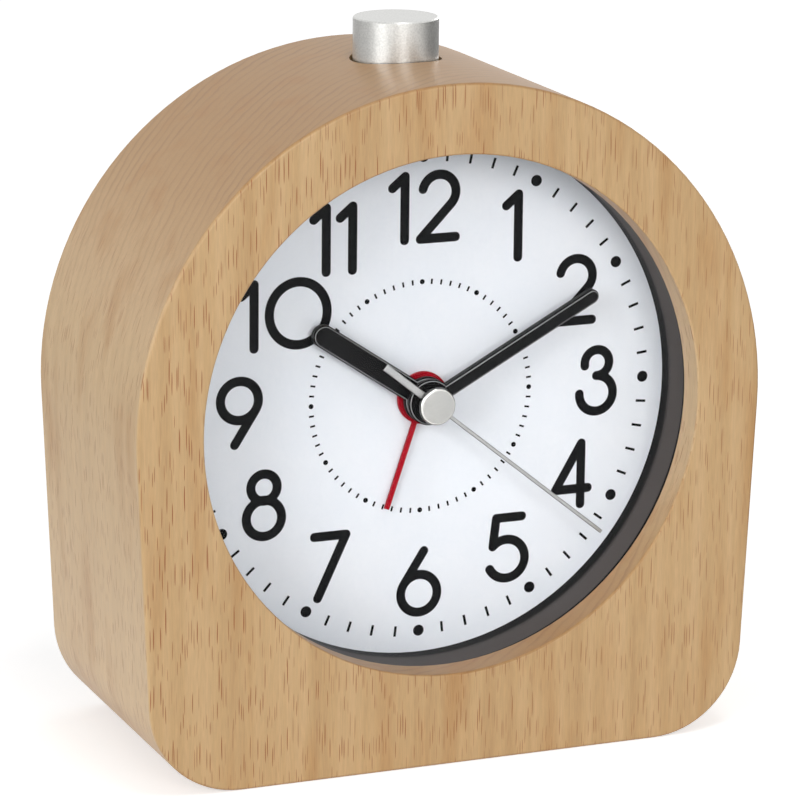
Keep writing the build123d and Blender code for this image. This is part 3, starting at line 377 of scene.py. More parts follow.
def dashes(across, across_mm, along_mm, least):
    """Spindle-shaped dashes: a Voronoi pattern of long cells, dark where a cell's point is close by.

    across is the coordinate that runs across the fibres, and a cell is about across_mm wide and along_mm
    long. Two random values per cell set how much of it the dash fills and, over least, how dark it is,
    so that some are short or faint and some are missing.
    """
    scaled = add_node(tree, "Math", {0: across, 1: 1 / (across_mm * MM)}, operation="MULTIPLY")
    scaled = add_node(
        tree,
        "Math",
        {0: beech_grain["ripple"], 1: DASH_RIPPLE, 2: scaled.outputs[0]},
        operation="MULTIPLY_ADD",
    )
    along = add_node(
        tree, "Math", {0: axes.outputs["Z"], 1: 1 / (along_mm * MM)}, operation="MULTIPLY"
    )
    flat = add_node(tree, "CombineXYZ", {"X": scaled.outputs[0], "Y": along.outputs[0]})
    cells = add_node(
        tree,
        "TexVoronoi",
        {"Vector": flat.outputs["Vector"], "Scale": 1.0, "Randomness": 0.9},
        voronoi_dimensions="2D",
    )
    random = add_node(tree, "SeparateColor", {"Color": cells.outputs["Color"]})
    reach = add_node(
        tree, "MapRange", {"Value": random.outputs["Green"], "To Min": DASH_SHORT, "To Max": DASH_LONG}
    )
    away = add_node(
        tree, "Math", {0: cells.outputs["Distance"], 1: reach.outputs["Result"]}, operation="DIVIDE"
    )
    close = add_node(
        tree,
        "MapRange",
        {"Value": away.outputs[0], "From Min": 1.0, "From Max": DASH_EDGE},
        interpolation_type="SMOOTHSTEP",
    )
    dark = add_node(
        tree, "MapRange", {"Value": random.outputs["Red"], "From Min": least, "From Max": DARKEST}
    )
    return add_node(
        tree, "Math", {0: close.outputs["Result"], 1: dark.outputs["Result"]}, operation="MULTIPLY"
    ).outputs[0]


front_dashes = dashes(axes.outputs["X"], *FRONT_CELL_MM, 0.0)
side_dashes = dashes(axes.outputs["Y"], *SIDE_CELL_MM, SIDE_LEAST)
fading = add_node(
    tree,
    "MapRange",
    {
        "Value": axes.outputs["X"],
        "From Min": -FADE_X,
        "From Max": FADE_X,
        "To Min": 1.0,
        "To Max": FADE_SHARE,
    },
)
print("Dashes per square centimetre of the front, about", round(100 / math.prod(FRONT_CELL_MM)))

# %% Beech: which face is which
# A face is front or end grain by how far its normal leans that way
FRONT_LEAN = (0.45, 0.85)
END_LEAN = (0.1, 0.9)
facing = add_node(tree, "SeparateXYZ", {"Vector": coordinates.outputs["Normal"]})
shares = []
for axis, (start, full) in (("Y", FRONT_LEAN), ("Z", END_LEAN)):
    lean = add_node(tree, "Math", {0: facing.outputs[axis]}, operation="ABSOLUTE")
    share = add_node(
        tree,
        "MapRange",
        {"Value": lean.outputs[0], "From Min": start, "From Max": full},
        interpolation_type="SMOOTHSTEP",
    )
    shares.append(share.outputs["Result"])
frontal, end_grain = shares
print("Front and end grain by the lean of the normal:", FRONT_LEAN, END_LEAN)

# %% Beech: the colours
# The sides' paler colour is painted sheen, the lacquer's shine at a grazing view
SIDE_SHEEN_SHARE = 0.5
END_SHARE = 0.8
RING_SHARE = (0.07, 0.6)
FIBRE_TONE = (0.92, 1.07)
CLOUD_SHARE = 0.55
CLOUD_START, CLOUD_FULL = 0.52, 0.78
face_colour = add_node(
    tree,
    "ValToRGB",
    {"Fac": beech_grain["streak"]},
    stops=[(0.32, "#CFAC7D"), (0.70, "#C09B6B"), (0.5, "#C8A474")],
)
side_sheen_mix = add_node(tree, "MapRange", {"Value": frontal, "To Min": SIDE_SHEEN_SHARE, "To Max": 0.0})
end_mix = add_node(tree, "MapRange", {"Value": end_grain, "To Max": END_SHARE})
ring_share = add_node(
    tree, "MapRange", {"Value": end_grain, "To Min": RING_SHARE[0], "To Max": RING_SHARE[1]}
)
ring_mix = add_node(
    tree, "Math", {0: late_wood.outputs[0], 1: ring_share.outputs["Result"]}, operation="MULTIPLY"
)
cloud_mix = add_node(
    tree,
    "MapRange",
    {
        "Value": beech_grain["cloud"],
        "From Min": CLOUD_START,
        "From Max": CLOUD_FULL,
        "To Max": CLOUD_SHARE,
    },
)
wood = face_colour.outputs["Color"]
# Sides painted paler as painted sheen, brown end grain, darker late wood and warm clouds, one over the other
for share, code in (
    (side_sheen_mix, "#E0C398"),
    (end_mix, "#A8793F"),
    (ring_mix, "#94693F"),
    (cloud_mix, "#B07C40"),
):
    wood = add_node(
        tree, "Mix", {0: share.outputs[0], 6: wood, 7: linear(code)}, data_type="RGBA"
    ).outputs[2]
fibre_tone = add_node(
    tree,
    "MapRange",
    {
        "Value": beech_grain["fibre"],
        "From Min": 0.25,
        "From Max": 0.75,
        "To Min": FIBRE_TONE[0],
        "To Max": FIBRE_TONE[1],
    },
)
fibred = add_node(tree, "VectorMath", {0: wood, "Scale": fibre_tone.outputs["Result"]}, operation="SCALE")
print("Shares of side wood, end grain and clouds:", SIDE_SHEEN_SHARE, END_SHARE, CLOUD_SHARE)

# %% Beech: put together
SIDE_DARK = 0.7
side_share = add_node(tree, "MapRange", {"Value": end_grain, "To Min": SIDE_DARK, "To Max": 0.0})
side_dark = add_node(
    tree, "Math", {0: side_dashes, 1: side_share.outputs["Result"]}, operation="MULTIPLY"
)
front_dark = add_node(
    tree, "Math", {0: front_dashes, 1: fading.outputs["Result"]}, operation="MULTIPLY"
)
dash = add_node(
    tree,
    "Mix",
    {0: frontal, 2: side_dark.outputs[0], 3: front_dark.outputs[0]},
    data_type="FLOAT",
)
dashed = add_node(
    tree,
    "Mix",
    {0: dash.outputs[0], 6: fibred.outputs["Vector"], 7: linear("#94501A")},
    data_type="RGBA",
)
tree.links.new(dashed.outputs[2], shader.inputs["Base Color"])
relief = add_node(tree, "Math", {0: beech_grain["fibre"], 1: dash.outputs[0]}, operation="SUBTRACT")
bump = add_node(
    tree, "Bump", {"Height": relief.outputs[0], "Strength": 0.12, "Distance": 0.05 * MM}
)
tree.links.new(bump.outputs["Normal"], shader.inputs["Normal"])
sheen = add_node(tree, "MapRange", {"Value": beech_grain["fibre"], "To Min": 0.36, "To Max": 0.50})
tree.links.new(sheen.outputs["Result"], shader.inputs["Roughness"])
give(beech, "wooden_case")

# %% [markdown]
# ## Lens and rim ring
# A clear acrylic disc closes the front. Real glass bends and mirrors light, and a path tracer then loses
# most of the light that should reach the dial, so rays that only ask whether a lamp is hidden pass
# straight through. The picture shows no glare at all, as with an anti-glare coat. A low index stands in
# for that coat: it mirrors about a tenth of what bare acrylic does, and a flat pane bends nothing visibly.
# The ring that holds the dial off the lens is satin black polystyrene. Its wall is a warm dark grey, while
# its foot by the dial and its lip by the lens are painted black: painted shade in the corner by the dial,
# and the painted shadow of the gap by the lens. Thin rings of their own could show that, but a colour that
# goes by depth is simpler and stays on the wall.

# %% Lens
HAZE_MM = 9
# Polished acrylic: clear and smooth, with the faintest cold tint
acrylic, tree, shader, coordinates = start_material(
    "clear polished acrylic", 0.02, Transmission_Weight=1.0, IOR=1.12
)
haze = add_node(
    tree,
    "TexNoise",
    {"Vector": coordinates.outputs["Object"], "Scale": 1 / (HAZE_MM * MM), "Detail": 2.0},
)
tint = add_node(
    tree, "ValToRGB", {"Fac": haze.outputs["Fac"]}, stops=[(0.3, "#FBFCFD"), (0.7, "#FEFEFE")]
)
tree.links.new(tint.outputs["Color"], shader.inputs["Base Color"])
path = add_node(tree, "LightPath")
clear = add_node(tree, "BsdfTransparent")
pane = add_node(
    tree,
    "MixShader",
    {0: path.outputs["Is Shadow Ray"], 1: shader.outputs["BSDF"], 2: clear.outputs["BSDF"]},
)
tree.links.new(pane.outputs["Shader"], tree.nodes["Material Output"].inputs["Surface"])
give(acrylic, "lens")

# %% Rim ring
# The black foot and lip are painted shade; the wall between keeps the plastic's grey
# Shares of the wall's depth, from the dial to the lens
SHADED_FOOT_SHARE = 0.26
SHADED_LIP_SHARE = 0.96
SHADE_SOFT_SHARE = 0.05
FLOW_MM = 0.4
SHADE_BLACK, SHADE_EDGE_GREY, RING_GREY = "#030303", "#393433", "#4B4644"
# Moulded polystyrene from a satin tool: a warm dark grey in the light, with little shine
satin, tree, shader, coordinates = start_material("satin black polystyrene", 0.4, Specular_IOR_Level=0.05)
flow = add_node(
    tree,
    "TexNoise",
    {"Vector": coordinates.outputs["Object"], "Scale": 1 / (FLOW_MM * MM), "Detail": 2.0},
)
depth = add_node(tree, "SeparateXYZ", {"Vector": coordinates.outputs["Object"]})
height = add_node(
    tree,
    "MapRange",
    {"Value": depth.outputs["Y"], "From Min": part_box("dial")[0].y, "From Max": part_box("lens")[1].y},
)
band = add_node(
    tree,
    "ValToRGB",
    {"Fac": height.outputs["Result"]},
    stops=[
        (SHADED_FOOT_SHARE, SHADE_BLACK),
        (SHADED_LIP_SHARE, SHADE_BLACK),
        (SHADED_FOOT_SHARE + SHADE_SOFT_SHARE, SHADE_EDGE_GREY),
        (SHADED_FOOT_SHARE + 3 * SHADE_SOFT_SHARE, RING_GREY),
        (SHADED_LIP_SHARE - SHADE_SOFT_SHARE / 2, RING_GREY),
    ],
)
tint = add_node(tree, "MapRange", {"Value": flow.outputs["Fac"], "To Min": 0.93, "To Max": 1.07})
shade = add_node(
    tree, "VectorMath", {0: band.outputs["Color"], "Scale": tint.outputs["Result"]}, operation="SCALE"
)
tree.links.new(shade.outputs["Vector"], shader.inputs["Base Color"])
wear = add_node(tree, "MapRange", {"Value": flow.outputs["Fac"], "To Min": 0.36, "To Max": 0.44})
tree.links.new(wear.outputs["Result"], shader.inputs["Roughness"])
give(satin, "rim_ring")

# %% [markdown]
# ## Dial
# The dial is a thin card with a matt white coat, a touch bluish, and its figures are screen printed in
# black. The print could be painted in the material, but as thin raised ink it stays sharp at any distance.
# A numeral is drawn as a sign painter does it, with one round pen along lines and arcs.

# %% Dial card
TOOTH_MM = 0.35
# Card with a clay coat: a flat, cold white with a tooth that is only just there
card, tree, shader, coordinates = start_material("matt white coated card", 0.62, Specular_IOR_Level=0.3)
tooth = add_node(
    tree,
    "TexNoise",
    {"Vector": coordinates.outputs["Object"], "Scale": 1 / (TOOTH_MM * MM), "Detail": 2.0},
)
coat = add_node(
    tree, "ValToRGB", {"Fac": tooth.outputs["Fac"]}, stops=[(0.25, "#E8ECF2"), (0.75, "#EEF1F6")]
)
tree.links.new(coat.outputs["Color"], shader.inputs["Base Color"])
bump = add_node(
    tree, "Bump", {"Height": tooth.outputs["Fac"], "Strength": 0.05, "Distance": 0.02 * MM}
)
tree.links.new(bump.outputs["Normal"], shader.inputs["Normal"])
give(card, "dial")

# %% Printing ink
SQUEEGEE_MM = 0.3
# Screen ink dries matt: a deep black that mirrors next to nothing
print_ink, tree, shader, coordinates = start_material(
    "screen printed black ink", 0.6, Specular_IOR_Level=0.06
)
squeegee = add_node(
    tree,
    "TexNoise",
    {"Vector": coordinates.outputs["Object"], "Scale": 1 / (SQUEEGEE_MM * MM), "Detail": 2.0},
)
black = add_node(
    tree, "ValToRGB", {"Fac": squeegee.outputs["Fac"]}, stops=[(0.3, "#060607"), (0.75, "#101013")]
)
tree.links.new(black.outputs["Color"], shader.inputs["Base Color"])
print(print_ink.name, "is ready for the numerals and tracks")

# %% Strokes of a pen
CAP_POINTS = 13


def arc(centre, radius, start, end, count=40):
    """Points on a circle from one angle to another, in degrees from the right, anticlockwise."""
    angle = np.radians(np.linspace(start, end, count))
    return np.array(centre) + radius * np.stack([np.cos(angle), np.sin(angle)], axis=1)


def stroke(path, width):
    """A round pen's outline: the path shifted half a width each way, with a half circle at both ends."""
    path = np.asarray(path, float)
    ahead = np.gradient(path, axis=0)
    ahead /= np.linalg.norm(ahead, axis=1)[:, None]
    left = np.stack([-ahead[:, 1], ahead[:, 0]], axis=1)
    half = width / 2
    sweep = np.linspace(0, math.pi, CAP_POINTS)[1:-1, None]
    last_cap = path[-1] + half * (np.sin(sweep) * ahead[-1] - np.cos(sweep) * left[-1])
    first_cap = path[0] + half * (np.cos(sweep) * left[0] - np.sin(sweep) * ahead[0])
    return np.concatenate([path - half * left, last_cap, (path + half * left)[::-1], first_cap])


print("Points round the end of a stroke:", CAP_POINTS)

# %% Slabs of ink
dial_low, dial_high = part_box("dial")
DIAL_FRONT = dial_low.y
DIAL_HEIGHT = (dial_low.z + dial_high.z) / 2
INK_MM = 0.03
# Strokes that cross lie a step apart, and all sink a little into the card
INK_STEP_MM = 0.004
INK_SEAT_MM = 0.002


def ink_slab(outer, hole=None, lift=0):
    """A thin slab of ink on the dial: a front and a back outline, joined by walls, with an optional hole.

    Points are across and up from the dial's centre in millimetres, and outlines run anticlockwise.
    """
    loops = [outer] if hole is None else [outer, hole[::-1]]
    flat = np.concatenate(loops) * MM
    heights = DIAL_FRONT - (INK_MM + lift * INK_STEP_MM) * MM, DIAL_FRONT + INK_SEAT_MM * MM
    layers = [
        np.stack([flat[:, 0], np.full(len(flat), y), DIAL_HEIGHT + flat[:, 1]], axis=1)
        for y in heights
    ]
    total = len(flat)
    faces = []
    first = 0
    for loop in loops:
        here = first + np.arange(len(loop))
        after = first + np.roll(np.arange(len(loop)), -1)
        faces += np.stack([here, here + total, after + total, after], axis=1).tolist()
        first += len(loop)
    count = len(outer)
    if hole is None:
        faces += [list(range(count)), list(range(2 * count - 1, count - 1, -1))]
    else:
        ring = np.arange(count)
        after = np.roll(ring, -1)
        inner, inner_after = total - 1 - ring, total - 1 - after
        front = np.stack([ring, after, inner_after, inner], axis=1)
        faces += front.tolist() + (front[:, ::-1] + total).tolist()
    return np.concatenate(layers), faces


def add_piece(name, slabs, material, body):
    """One mesh of several slabs, riding on a body."""
    counts = np.cumsum([0] + [len(points) for points, _ in slabs])
    faces = [[i + int(first) for i in face] for first, (_, part) in zip(counts, slabs) for face in part]
    mesh = bpy.data.meshes.new(name)
    mesh.from_pydata(np.concatenate([points for points, _ in slabs]).tolist(), [], faces)
    mesh.materials.append(material)
    piece = bpy.data.objects.new(name, mesh)
    scene.collection.objects.link(piece)
    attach(piece, body)
    print(name, "has", len(faces), "faces")
    return piece


print("Ink stands", INK_MM, "mm off the dial")

# %% [markdown]
# ### Numerals
# Ten digit shapes serve for all twelve hours. Each is a few pen strokes about 5.5 mm wide and 9.7 mm high,
# measured along the pen's middle, and the nought is almost a circle. A text object would be quicker, but its
# font has other shapes. Where a straight line runs into a bowl, as on a 2, 6 or 9, it touches the circle:
# that point is found from the circle and the line's free end.

# %% Digit shapes
PEN_MM = 1.45
TOP, BOTTOM = 4.85, -4.85


def line(start, end, count=12):
    """Points on a straight line."""
    return np.linspace(start, end, count)


def touch_angle(centre, radius, end, side):
    """The angle at which a line from an end point touches a circle: the point's own angle, plus or minus
    the angle whose cosine is the radius over the distance."""
    across, up = np.array(end) - np.array(centre)
    spread = math.acos(radius / math.hypot(across, up))
    return math.degrees(math.atan2(up, across) + side * spread)


def two_paths():
    """A hook that leaves its bowl as a straight line down to the left, and a base."""
    bowl, radius, foot = (0.15, 2.15), 2.7, (-2.85, BOTTOM)
    leave = touch_angle(bowl, radius, foot, 1)
    hook = arc(bowl, radius, 167, leave)
    return [np.concatenate([hook, line(hook[-1], foot)[1:]]), line(foot, (2.85, BOTTOM))]


def six_paths():
    """A bowl with a straight stem that touches its left side. Half a turn makes it a nine."""
    bowl, radius, tip = (0.0, -1.87), 3.0, (0.75, TOP)
    leave = touch_angle(bowl, radius, tip, 1)
    return [arc(bowl, radius, 0, 360, 73), line(tip, arc(bowl, radius, leave, leave, 1)[0])]


five_bowl = arc((-0.1, -1.75), 3.1, 137, -152)
DIGITS = {
    "0": [np.array([4.6, 4.8]) * arc((0, 0), 1.0, 0, 360, 97)],
    "1": [line((1.0, TOP), (1.0, BOTTOM)), line((-1.0, 3.2), (1.0, TOP))],
    "2": two_paths(),
    "3": [arc((0, 2.82), 2.05, 190, -90), arc((-0.05, -2.03), 2.82, 90, -182)],
    "4": [
        line((1.55, TOP), (1.55, BOTTOM)),
        line((1.55, TOP), (-2.7, -2.35)),
        line((-2.7, -2.35), (2.75, -2.35)),
    ],
    "5": [line((2.4, TOP), (-1.85, TOP)), line((-1.85, TOP), five_bowl[0]), five_bowl],
    "6": six_paths(),
    "7": [line((-2.55, TOP), (2.55, TOP)), line((2.55, TOP), (-2.0, BOTTOM))],
    "8": [arc((0, 2.75), 2.1, 0, 360, 61), arc((0, -2.04), 2.82, 0, 360, 73)],
    "9": [-points for points in six_paths()],
}
print("Digit strokes:", {digit: len(paths) for digit, paths in DIGITS.items()})

# %% Numerals on the dial
NUMERAL_RADIUS_MM = 29.2
TEN_PLACE_MM = (-21.9, 14.5)
DIGIT_SHIFT_MM = {10: (-6.0, 2.0), 11: (-1.9, 2.3), 12: (-3.95, 2.45)}


def pen_slab(points, lift):
    """The slab of one stroke. A path that ends where it starts becomes a ring."""
    if np.allclose(points[0], points[-1]):
        loop = points[:-1]
        ahead = np.roll(loop, -1, axis=0) - np.roll(loop, 1, axis=0)
        ahead /= np.linalg.norm(ahead, axis=1)[:, None]
        out = np.stack([ahead[:, 1], -ahead[:, 0]], axis=1) * PEN_MM / 2
        return ink_slab(loop + out, loop - out, lift)
    return ink_slab(stroke(points, PEN_MM), None, lift)


numeral_slabs = []
for hour in range(1, 13):
    angle = math.radians(30 * hour)
    centre = np.array([math.sin(angle), math.cos(angle)]) * NUMERAL_RADIUS_MM
    if hour == 10:
        centre = np.array(TEN_PLACE_MM)
    for digit, shift in zip(str(hour), DIGIT_SHIFT_MM.get(hour, (0.0,))):
        for lift, points in enumerate(DIGITS[digit]):
            numeral_slabs.append(pen_slab(points + centre + (shift, 0.0), lift))
add_piece("dial_numerals", numeral_slabs, print_ink, "clock_body")

# %% [markdown]
# ### Minute track and alarm track
# Round the edge, a dot marks each hour and a short tick each minute between. The alarm has its own smaller
# track inside, with a tick every ten minutes. Each mark could be set by hand, but one function prints both
# tracks from a few sizes.


# %% Tracks
def track(radius, dot, tick_length, tick_width, steps):
    """Slabs of a printed track: a dot at each hour, and ticks at the steps between, on one circle."""
    slabs = []
    for number in range(12 * steps):
        angle = math.radians(360 * number / (12 * steps))
        out = np.array([math.sin(angle), math.cos(angle)])
        side = np.array([-out[1], out[0]])
        if number % steps == 0:
            slabs.append(ink_slab(arc(out * radius, dot / 2, 0, 360, 33)[:-1]))
        else:
            half, wide = out * tick_length / 2, side * tick_width / 2
            box = np.array([half - wide, half + wide, wide - half, -wide - half])
            slabs.append(ink_slab(out * radius + box))
    return slabs


# Millimetres, and steps from one hour's dot to the next
TRACKS = {
    "dial_minute_track": {"radius": 36.97, "dot": 1.75, "tick_length": 1.65, "tick_width": 0.4, "steps": 5},
    "dial_alarm_track": {"radius": 17.8, "dot": 0.78, "tick_length": 0.8, "tick_width": 0.29, "steps": 6},
}
for name, sizes in TRACKS.items():
    add_piece(name, track(**sizes), print_ink, "clock_body")

# %% [markdown]
# ## Hands
# The hour and minute hands are stamped from aluminium and painted satin black, and the alarm hand is red.
# A thin light line runs along the black ones, where their bevel meets the flat top: a painted highlight. It
# could be a strip of its own, but the colour can find it: a face that slants, and lies within a tenth of a
# millimetre of the hand's front. On the red hand that painted highlight is as red as the rest.

# %% Painted hands
HIGHLIGHT_BAND_MM = 0.11
PEEL_MM = 0.5
# The paint's darker and lighter tone, the painted highlight on the bevel, and the range of roughness
BLACK_PAINT = ("#050506", "#0B0B0D", "#A6A6A8", (0.26, 0.36))
RED_PAINT = ("#A00419", "#AB061E", "#A80820", (0.32, 0.45))
# Sprayed satin paint: a deep, even colour with a soft sheen and a trace of orange peel
for node, name, (low, high, bevel_highlight, shine) in (
    ("hour_hand", "satin black paint on the hour hand", BLACK_PAINT),
    ("minute_hand", "satin black paint on the minute hand", BLACK_PAINT),
    ("alarm_hand", "satin red paint on the alarm hand", RED_PAINT),
):
    paint, tree, shader, coordinates = start_material(name, 0.36, Specular_IOR_Level=0.10)
    orange_peel = add_node(
        tree,
        "TexNoise",
        {"Vector": coordinates.outputs["Object"], "Scale": 1 / (PEEL_MM * MM), "Detail": 2.0},
    )
    colour = add_node(
        tree, "ValToRGB", {"Fac": orange_peel.outputs["Fac"]}, stops=[(0.3, low), (0.7, high)]
    )
    facing = add_node(tree, "SeparateXYZ", {"Vector": coordinates.outputs["Normal"]})
    flatness = add_node(tree, "Math", {0: facing.outputs["Y"]}, operation="ABSOLUTE")
    # White where a face slants: the mask of the painted highlight
    bevel = add_node(
        tree,
        "ValToRGB",
        {"Fac": flatness.outputs[0]},
        stops=[(0.40, "#000000"), (0.95, "#000000"), (0.55, "#FFFFFF"), (0.85, "#FFFFFF")],
    )
    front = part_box(node)[0].y
    depth = add_node(tree, "SeparateXYZ", {"Vector": coordinates.outputs["Object"]})
    near = add_node(
        tree,
        "MapRange",
        {
            "Value": depth.outputs["Y"],
            "From Min": front + HIGHLIGHT_BAND_MM * MM,
            "From Max": front + HIGHLIGHT_BAND_MM * MM / 2,
        },
    )
    highlight_share = add_node(
        tree, "Math", {0: bevel.outputs["Color"], 1: near.outputs["Result"]}, operation="MULTIPLY"
    )
    highlighted = add_node(
        tree,
        "Mix",
        {0: highlight_share.outputs[0], 6: colour.outputs["Color"], 7: linear(bevel_highlight)},
        data_type="RGBA",
    )
    tree.links.new(highlighted.outputs[2], shader.inputs["Base Color"])
    sheen = add_node(
        tree,
        "MapRange",
        {"Value": orange_peel.outputs["Fac"], "To Min": shine[0], "To Max": shine[1]},
    )
    tree.links.new(sheen.outputs["Result"], shader.inputs["Roughness"])
    give(paint, node)

# %% [markdown]
# ### Bare metal
# The second hand, its cap and the snooze button are bare aluminium, and each was finished in its own way.
# Three materials could be drawn one by one, but they share their parts: a fine grain, a shine that differs
# between face and edge, and tones by facing: painted shade that darkens the walls, and on the cap a painted
# highlight that leaves the edge brighter than the face.

# %% Bare metal: the finishes
# Colour, grain in millimetres, roughness of face and edge, tone of face and wall (a face dimmed below a
# painted highlight on the edge, and walls darkened as painted shade), axis, and node
BARE_METALS = (
    # Rolled strip: a plain grey with a soft shine, and painted shade on its cut sides
    ("rolled aluminium strip", "#B4B4B3", 0.12, 0.34, 0.30, 1.0, 0.25, "Y", "second_hand"),
    # Turned face: satin, inside a polished edge that is painted brighter as a highlight, with painted shade
    # on its wall
    ("turned and polished aluminium", "#EAE9E5", 0.10, 0.33, 0.10, 0.59, 0.15, "Y", "second_hand_cap"),
    # Glass blasted: the light spreads over a fine speckle
    ("satin blasted aluminium", "#D4D4D1", 0.28, 0.30, 0.32, 1.0, 1.0, "Z", "snooze_button"),
)
print("Bare metals:", len(BARE_METALS))

# %% Bare metal: second hand, cap and button
# Parts of a piece by how far they face along its axis
WALL_LEAN = (0.45, 0.75)
EDGE_LEAN = (0.80, 0.98)
FACE_LEAN = (0.94, 0.99)
BLAST_TONE = (0.85, 1.08)
for name, code, grain_mm, face_shine, edge_shine, painted_face_shade, painted_wall_shade, axis, node in BARE_METALS:
    metal, tree, shader, coordinates = start_material(name, face_shine, metallic=1.0)
    blast = add_node(
        tree,
        "TexNoise",
        {"Vector": coordinates.outputs["Object"], "Scale": 1 / (grain_mm * MM), "Detail": 2.0},
    )
    grain_and_painted_tone = add_node(
        tree,
        "MapRange",
        {
            "Value": blast.outputs["Fac"],
            "From Min": 0.3,
            "From Max": 0.7,
            "To Min": BLAST_TONE[0],
            "To Max": BLAST_TONE[1],
        },
    )
    facing = add_node(tree, "SeparateXYZ", {"Vector": coordinates.outputs["Normal"]})
    flatness = add_node(tree, "Math", {0: facing.outputs[axis]}, operation="ABSOLUTE")
    parts = []
    for (start, full), low, high in (
        (WALL_LEAN, painted_wall_shade, 1.0),
        (FACE_LEAN, 1.0, painted_face_shade),
        (EDGE_LEAN, edge_shine, face_shine),
    ):
        part = add_node(
            tree,
            "MapRange",
            {
                "Value": flatness.outputs[0],
                "From Min": start,
                "From Max": full,
                "To Min": low,
                "To Max": high,
            },
        )
        parts.append(part.outputs["Result"])
    # The walls get painted shade, and the cap's face is dimmed below the painted highlight on its edge
    wall_shade_share, face, shine = parts
    for share in (wall_shade_share, face):
        grain_and_painted_tone = add_node(tree, "Math", {0: grain_and_painted_tone.outputs[0], 1: share}, operation="MULTIPLY")
    colour = add_node(
        tree, "VectorMath", {0: linear(code)[:3], "Scale": grain_and_painted_tone.outputs[0]}, operation="SCALE"
    )
    tree.links.new(colour.outputs["Vector"], shader.inputs["Base Color"])
    tree.links.new(shine, shader.inputs["Roughness"])
    bump = add_node(
        tree, "Bump", {"Height": blast.outputs["Fac"], "Strength": 0.5, "Distance": 0.03 * MM}
    )
    tree.links.new(bump.outputs["Normal"], shader.inputs["Normal"])
    give(metal, node)

# %% [markdown]
# ### Cap over the hands
# The second hand's cap is turned on a lathe, and its edge is rounded and polished, which draws a clean ring
# of light, and its material adds a painted highlight there. The imported cap has a plain chamfer in flat
# facets there. A bevel could smooth it, but a node's mesh is never changed, so a turned surface of the same
# size takes its place: a profile carried round a circle.

# %% Cap
CAP_EDGE = 0.5 * MM
cap_low, cap_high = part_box("second_hand_cap")


def skin(rows, columns):
    """Faces of a grid of points that closes round its columns, with one flat face over each end."""
    index = np.arange(rows * columns).reshape(rows, columns)
    after = np.roll(index, -1, axis=1)
    walls = np.stack([index[:-1], after[:-1], after[1:], index[1:]], axis=-1).reshape(-1, 4)
    return walls.tolist() + [index[0, ::-1].tolist(), index[-1].tolist()]


def turned(low, high, edge, columns=96, steps=12):
    """A disc with a rounded front edge: a wall and a quarter circle, carried round the box's middle."""
    middle = (low + high) / 2
    bend = np.linspace(0, math.pi / 2, steps)
    radius = (high.x - low.x) / 2
    reach = np.append(radius, radius - edge + edge * np.cos(bend))[:, None]
    depth = np.append(high.y, low.y + edge - edge * np.sin(bend))[:, None]
    angle = np.linspace(0, 2 * math.pi, columns, endpoint=False)
    points = np.stack(
        [middle.x + reach * np.cos(angle), depth + 0 * angle, middle.z + reach * np.sin(angle)], axis=-1
    )
    return points.reshape(-1, 3), skin(len(reach), columns)


cap_metal = bpy.data.materials["turned and polished aluminium"]
turned_cap = add_piece(
    "turned_cap", [turned(cap_low, cap_high, CAP_EDGE)], cap_metal, "second_hand_group"
)
turned_cap.data.shade_smooth()
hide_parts("second_hand_cap")

# %% [markdown]
# ## Moulded plastics
# The back cover, door and knobs are black ABS from a spark-eroded mould: a fine matt grain. The movement's
# frame is pale ABS and its wheels are acetal, both smoother. One loop makes them all: a noise of the
# grain's size tints the colour, raises a small bump and varies the shine.

# %% Plastics: the finishes
# Darker and lighter tone, grain in millimetres, range of roughness, strength of the bump, and nodes
PLASTICS = (
    # Spark-eroded tool: a fine matt grain that breaks up every highlight
    (
        "spark textured black ABS",
        "#131416",
        "#1D1E20",
        0.30,
        (0.50, 0.66),
        0.35,
        ("back_cover", "battery_door", "alarm_switch_slider"),
    ),
    # Plain tool: smooth, with soft highlights along the ribs
    (
        "smooth black ABS",
        "#121314",
        "#1A1B1C",
        0.8,
        (0.36, 0.48),
        0.08,
        (
            "time_setting_knob",
            "alarm_setting_knob",
            "buzzer",
            "clock_chip",
            "snooze_switch",
            "button_stem",
            "button_bush",
            "snooze_switch_plunger",
        ),
    ),
    # Unpainted ABS: a warm off-white, slightly silky
    (
        "pale moulded ABS",
        "#D4D4CE",
        "#DEDED9",
        1.0,
        (0.42, 0.55),
        0.08,
        ("movement_base", "movement_bridge", "movement_cover", "coil_bobbin"),
    ),
    # Acetal: creamy and a little waxy, as on small gears
    (
        "natural acetal",
        "#E4E1D5",
        "#EFECE2",
        1.2,
        (0.34, 0.46),
        0.05,
        (
            "alarm_wheel",
            "hour_wheel",
            "cannon_pinion",
            "centre_wheel",
            "third_wheel",
            "motion_wheel",
            "intermediate_wheel",
            "rotor",
            "second_wheel",
            "time_setting_shaft",
            "alarm_setting_shaft",
        ),
    ),
)
print("Plastics:", len(PLASTICS))

# %% Plastics: the materials
for name, low, high, grain_mm, rough, bump_strength, nodes in PLASTICS:
    plastic, tree, shader, coordinates = start_material(name, sum(rough) / 2)
    grain = add_node(
        tree,
        "TexNoise",
        {"Vector": coordinates.outputs["Object"], "Scale": 1 / (grain_mm * MM), "Detail": 3.0},
    )
    colour = add_node(
        tree, "ValToRGB", {"Fac": grain.outputs["Fac"]}, stops=[(0.3, low), (0.7, high)]
    )
    tree.links.new(colour.outputs["Color"], shader.inputs["Base Color"])
    matt = add_node(
        tree, "MapRange", {"Value": grain.outputs["Fac"], "To Min": rough[0], "To Max": rough[1]}
    )
    tree.links.new(matt.outputs["Result"], shader.inputs["Roughness"])
    bump = add_node(
        tree,
        "Bump",
        {"Height": grain.outputs["Fac"], "Strength": bump_strength, "Distance": 0.05 * MM},
    )
    tree.links.new(bump.outputs["Normal"], shader.inputs["Normal"])
    give(plastic, *nodes)

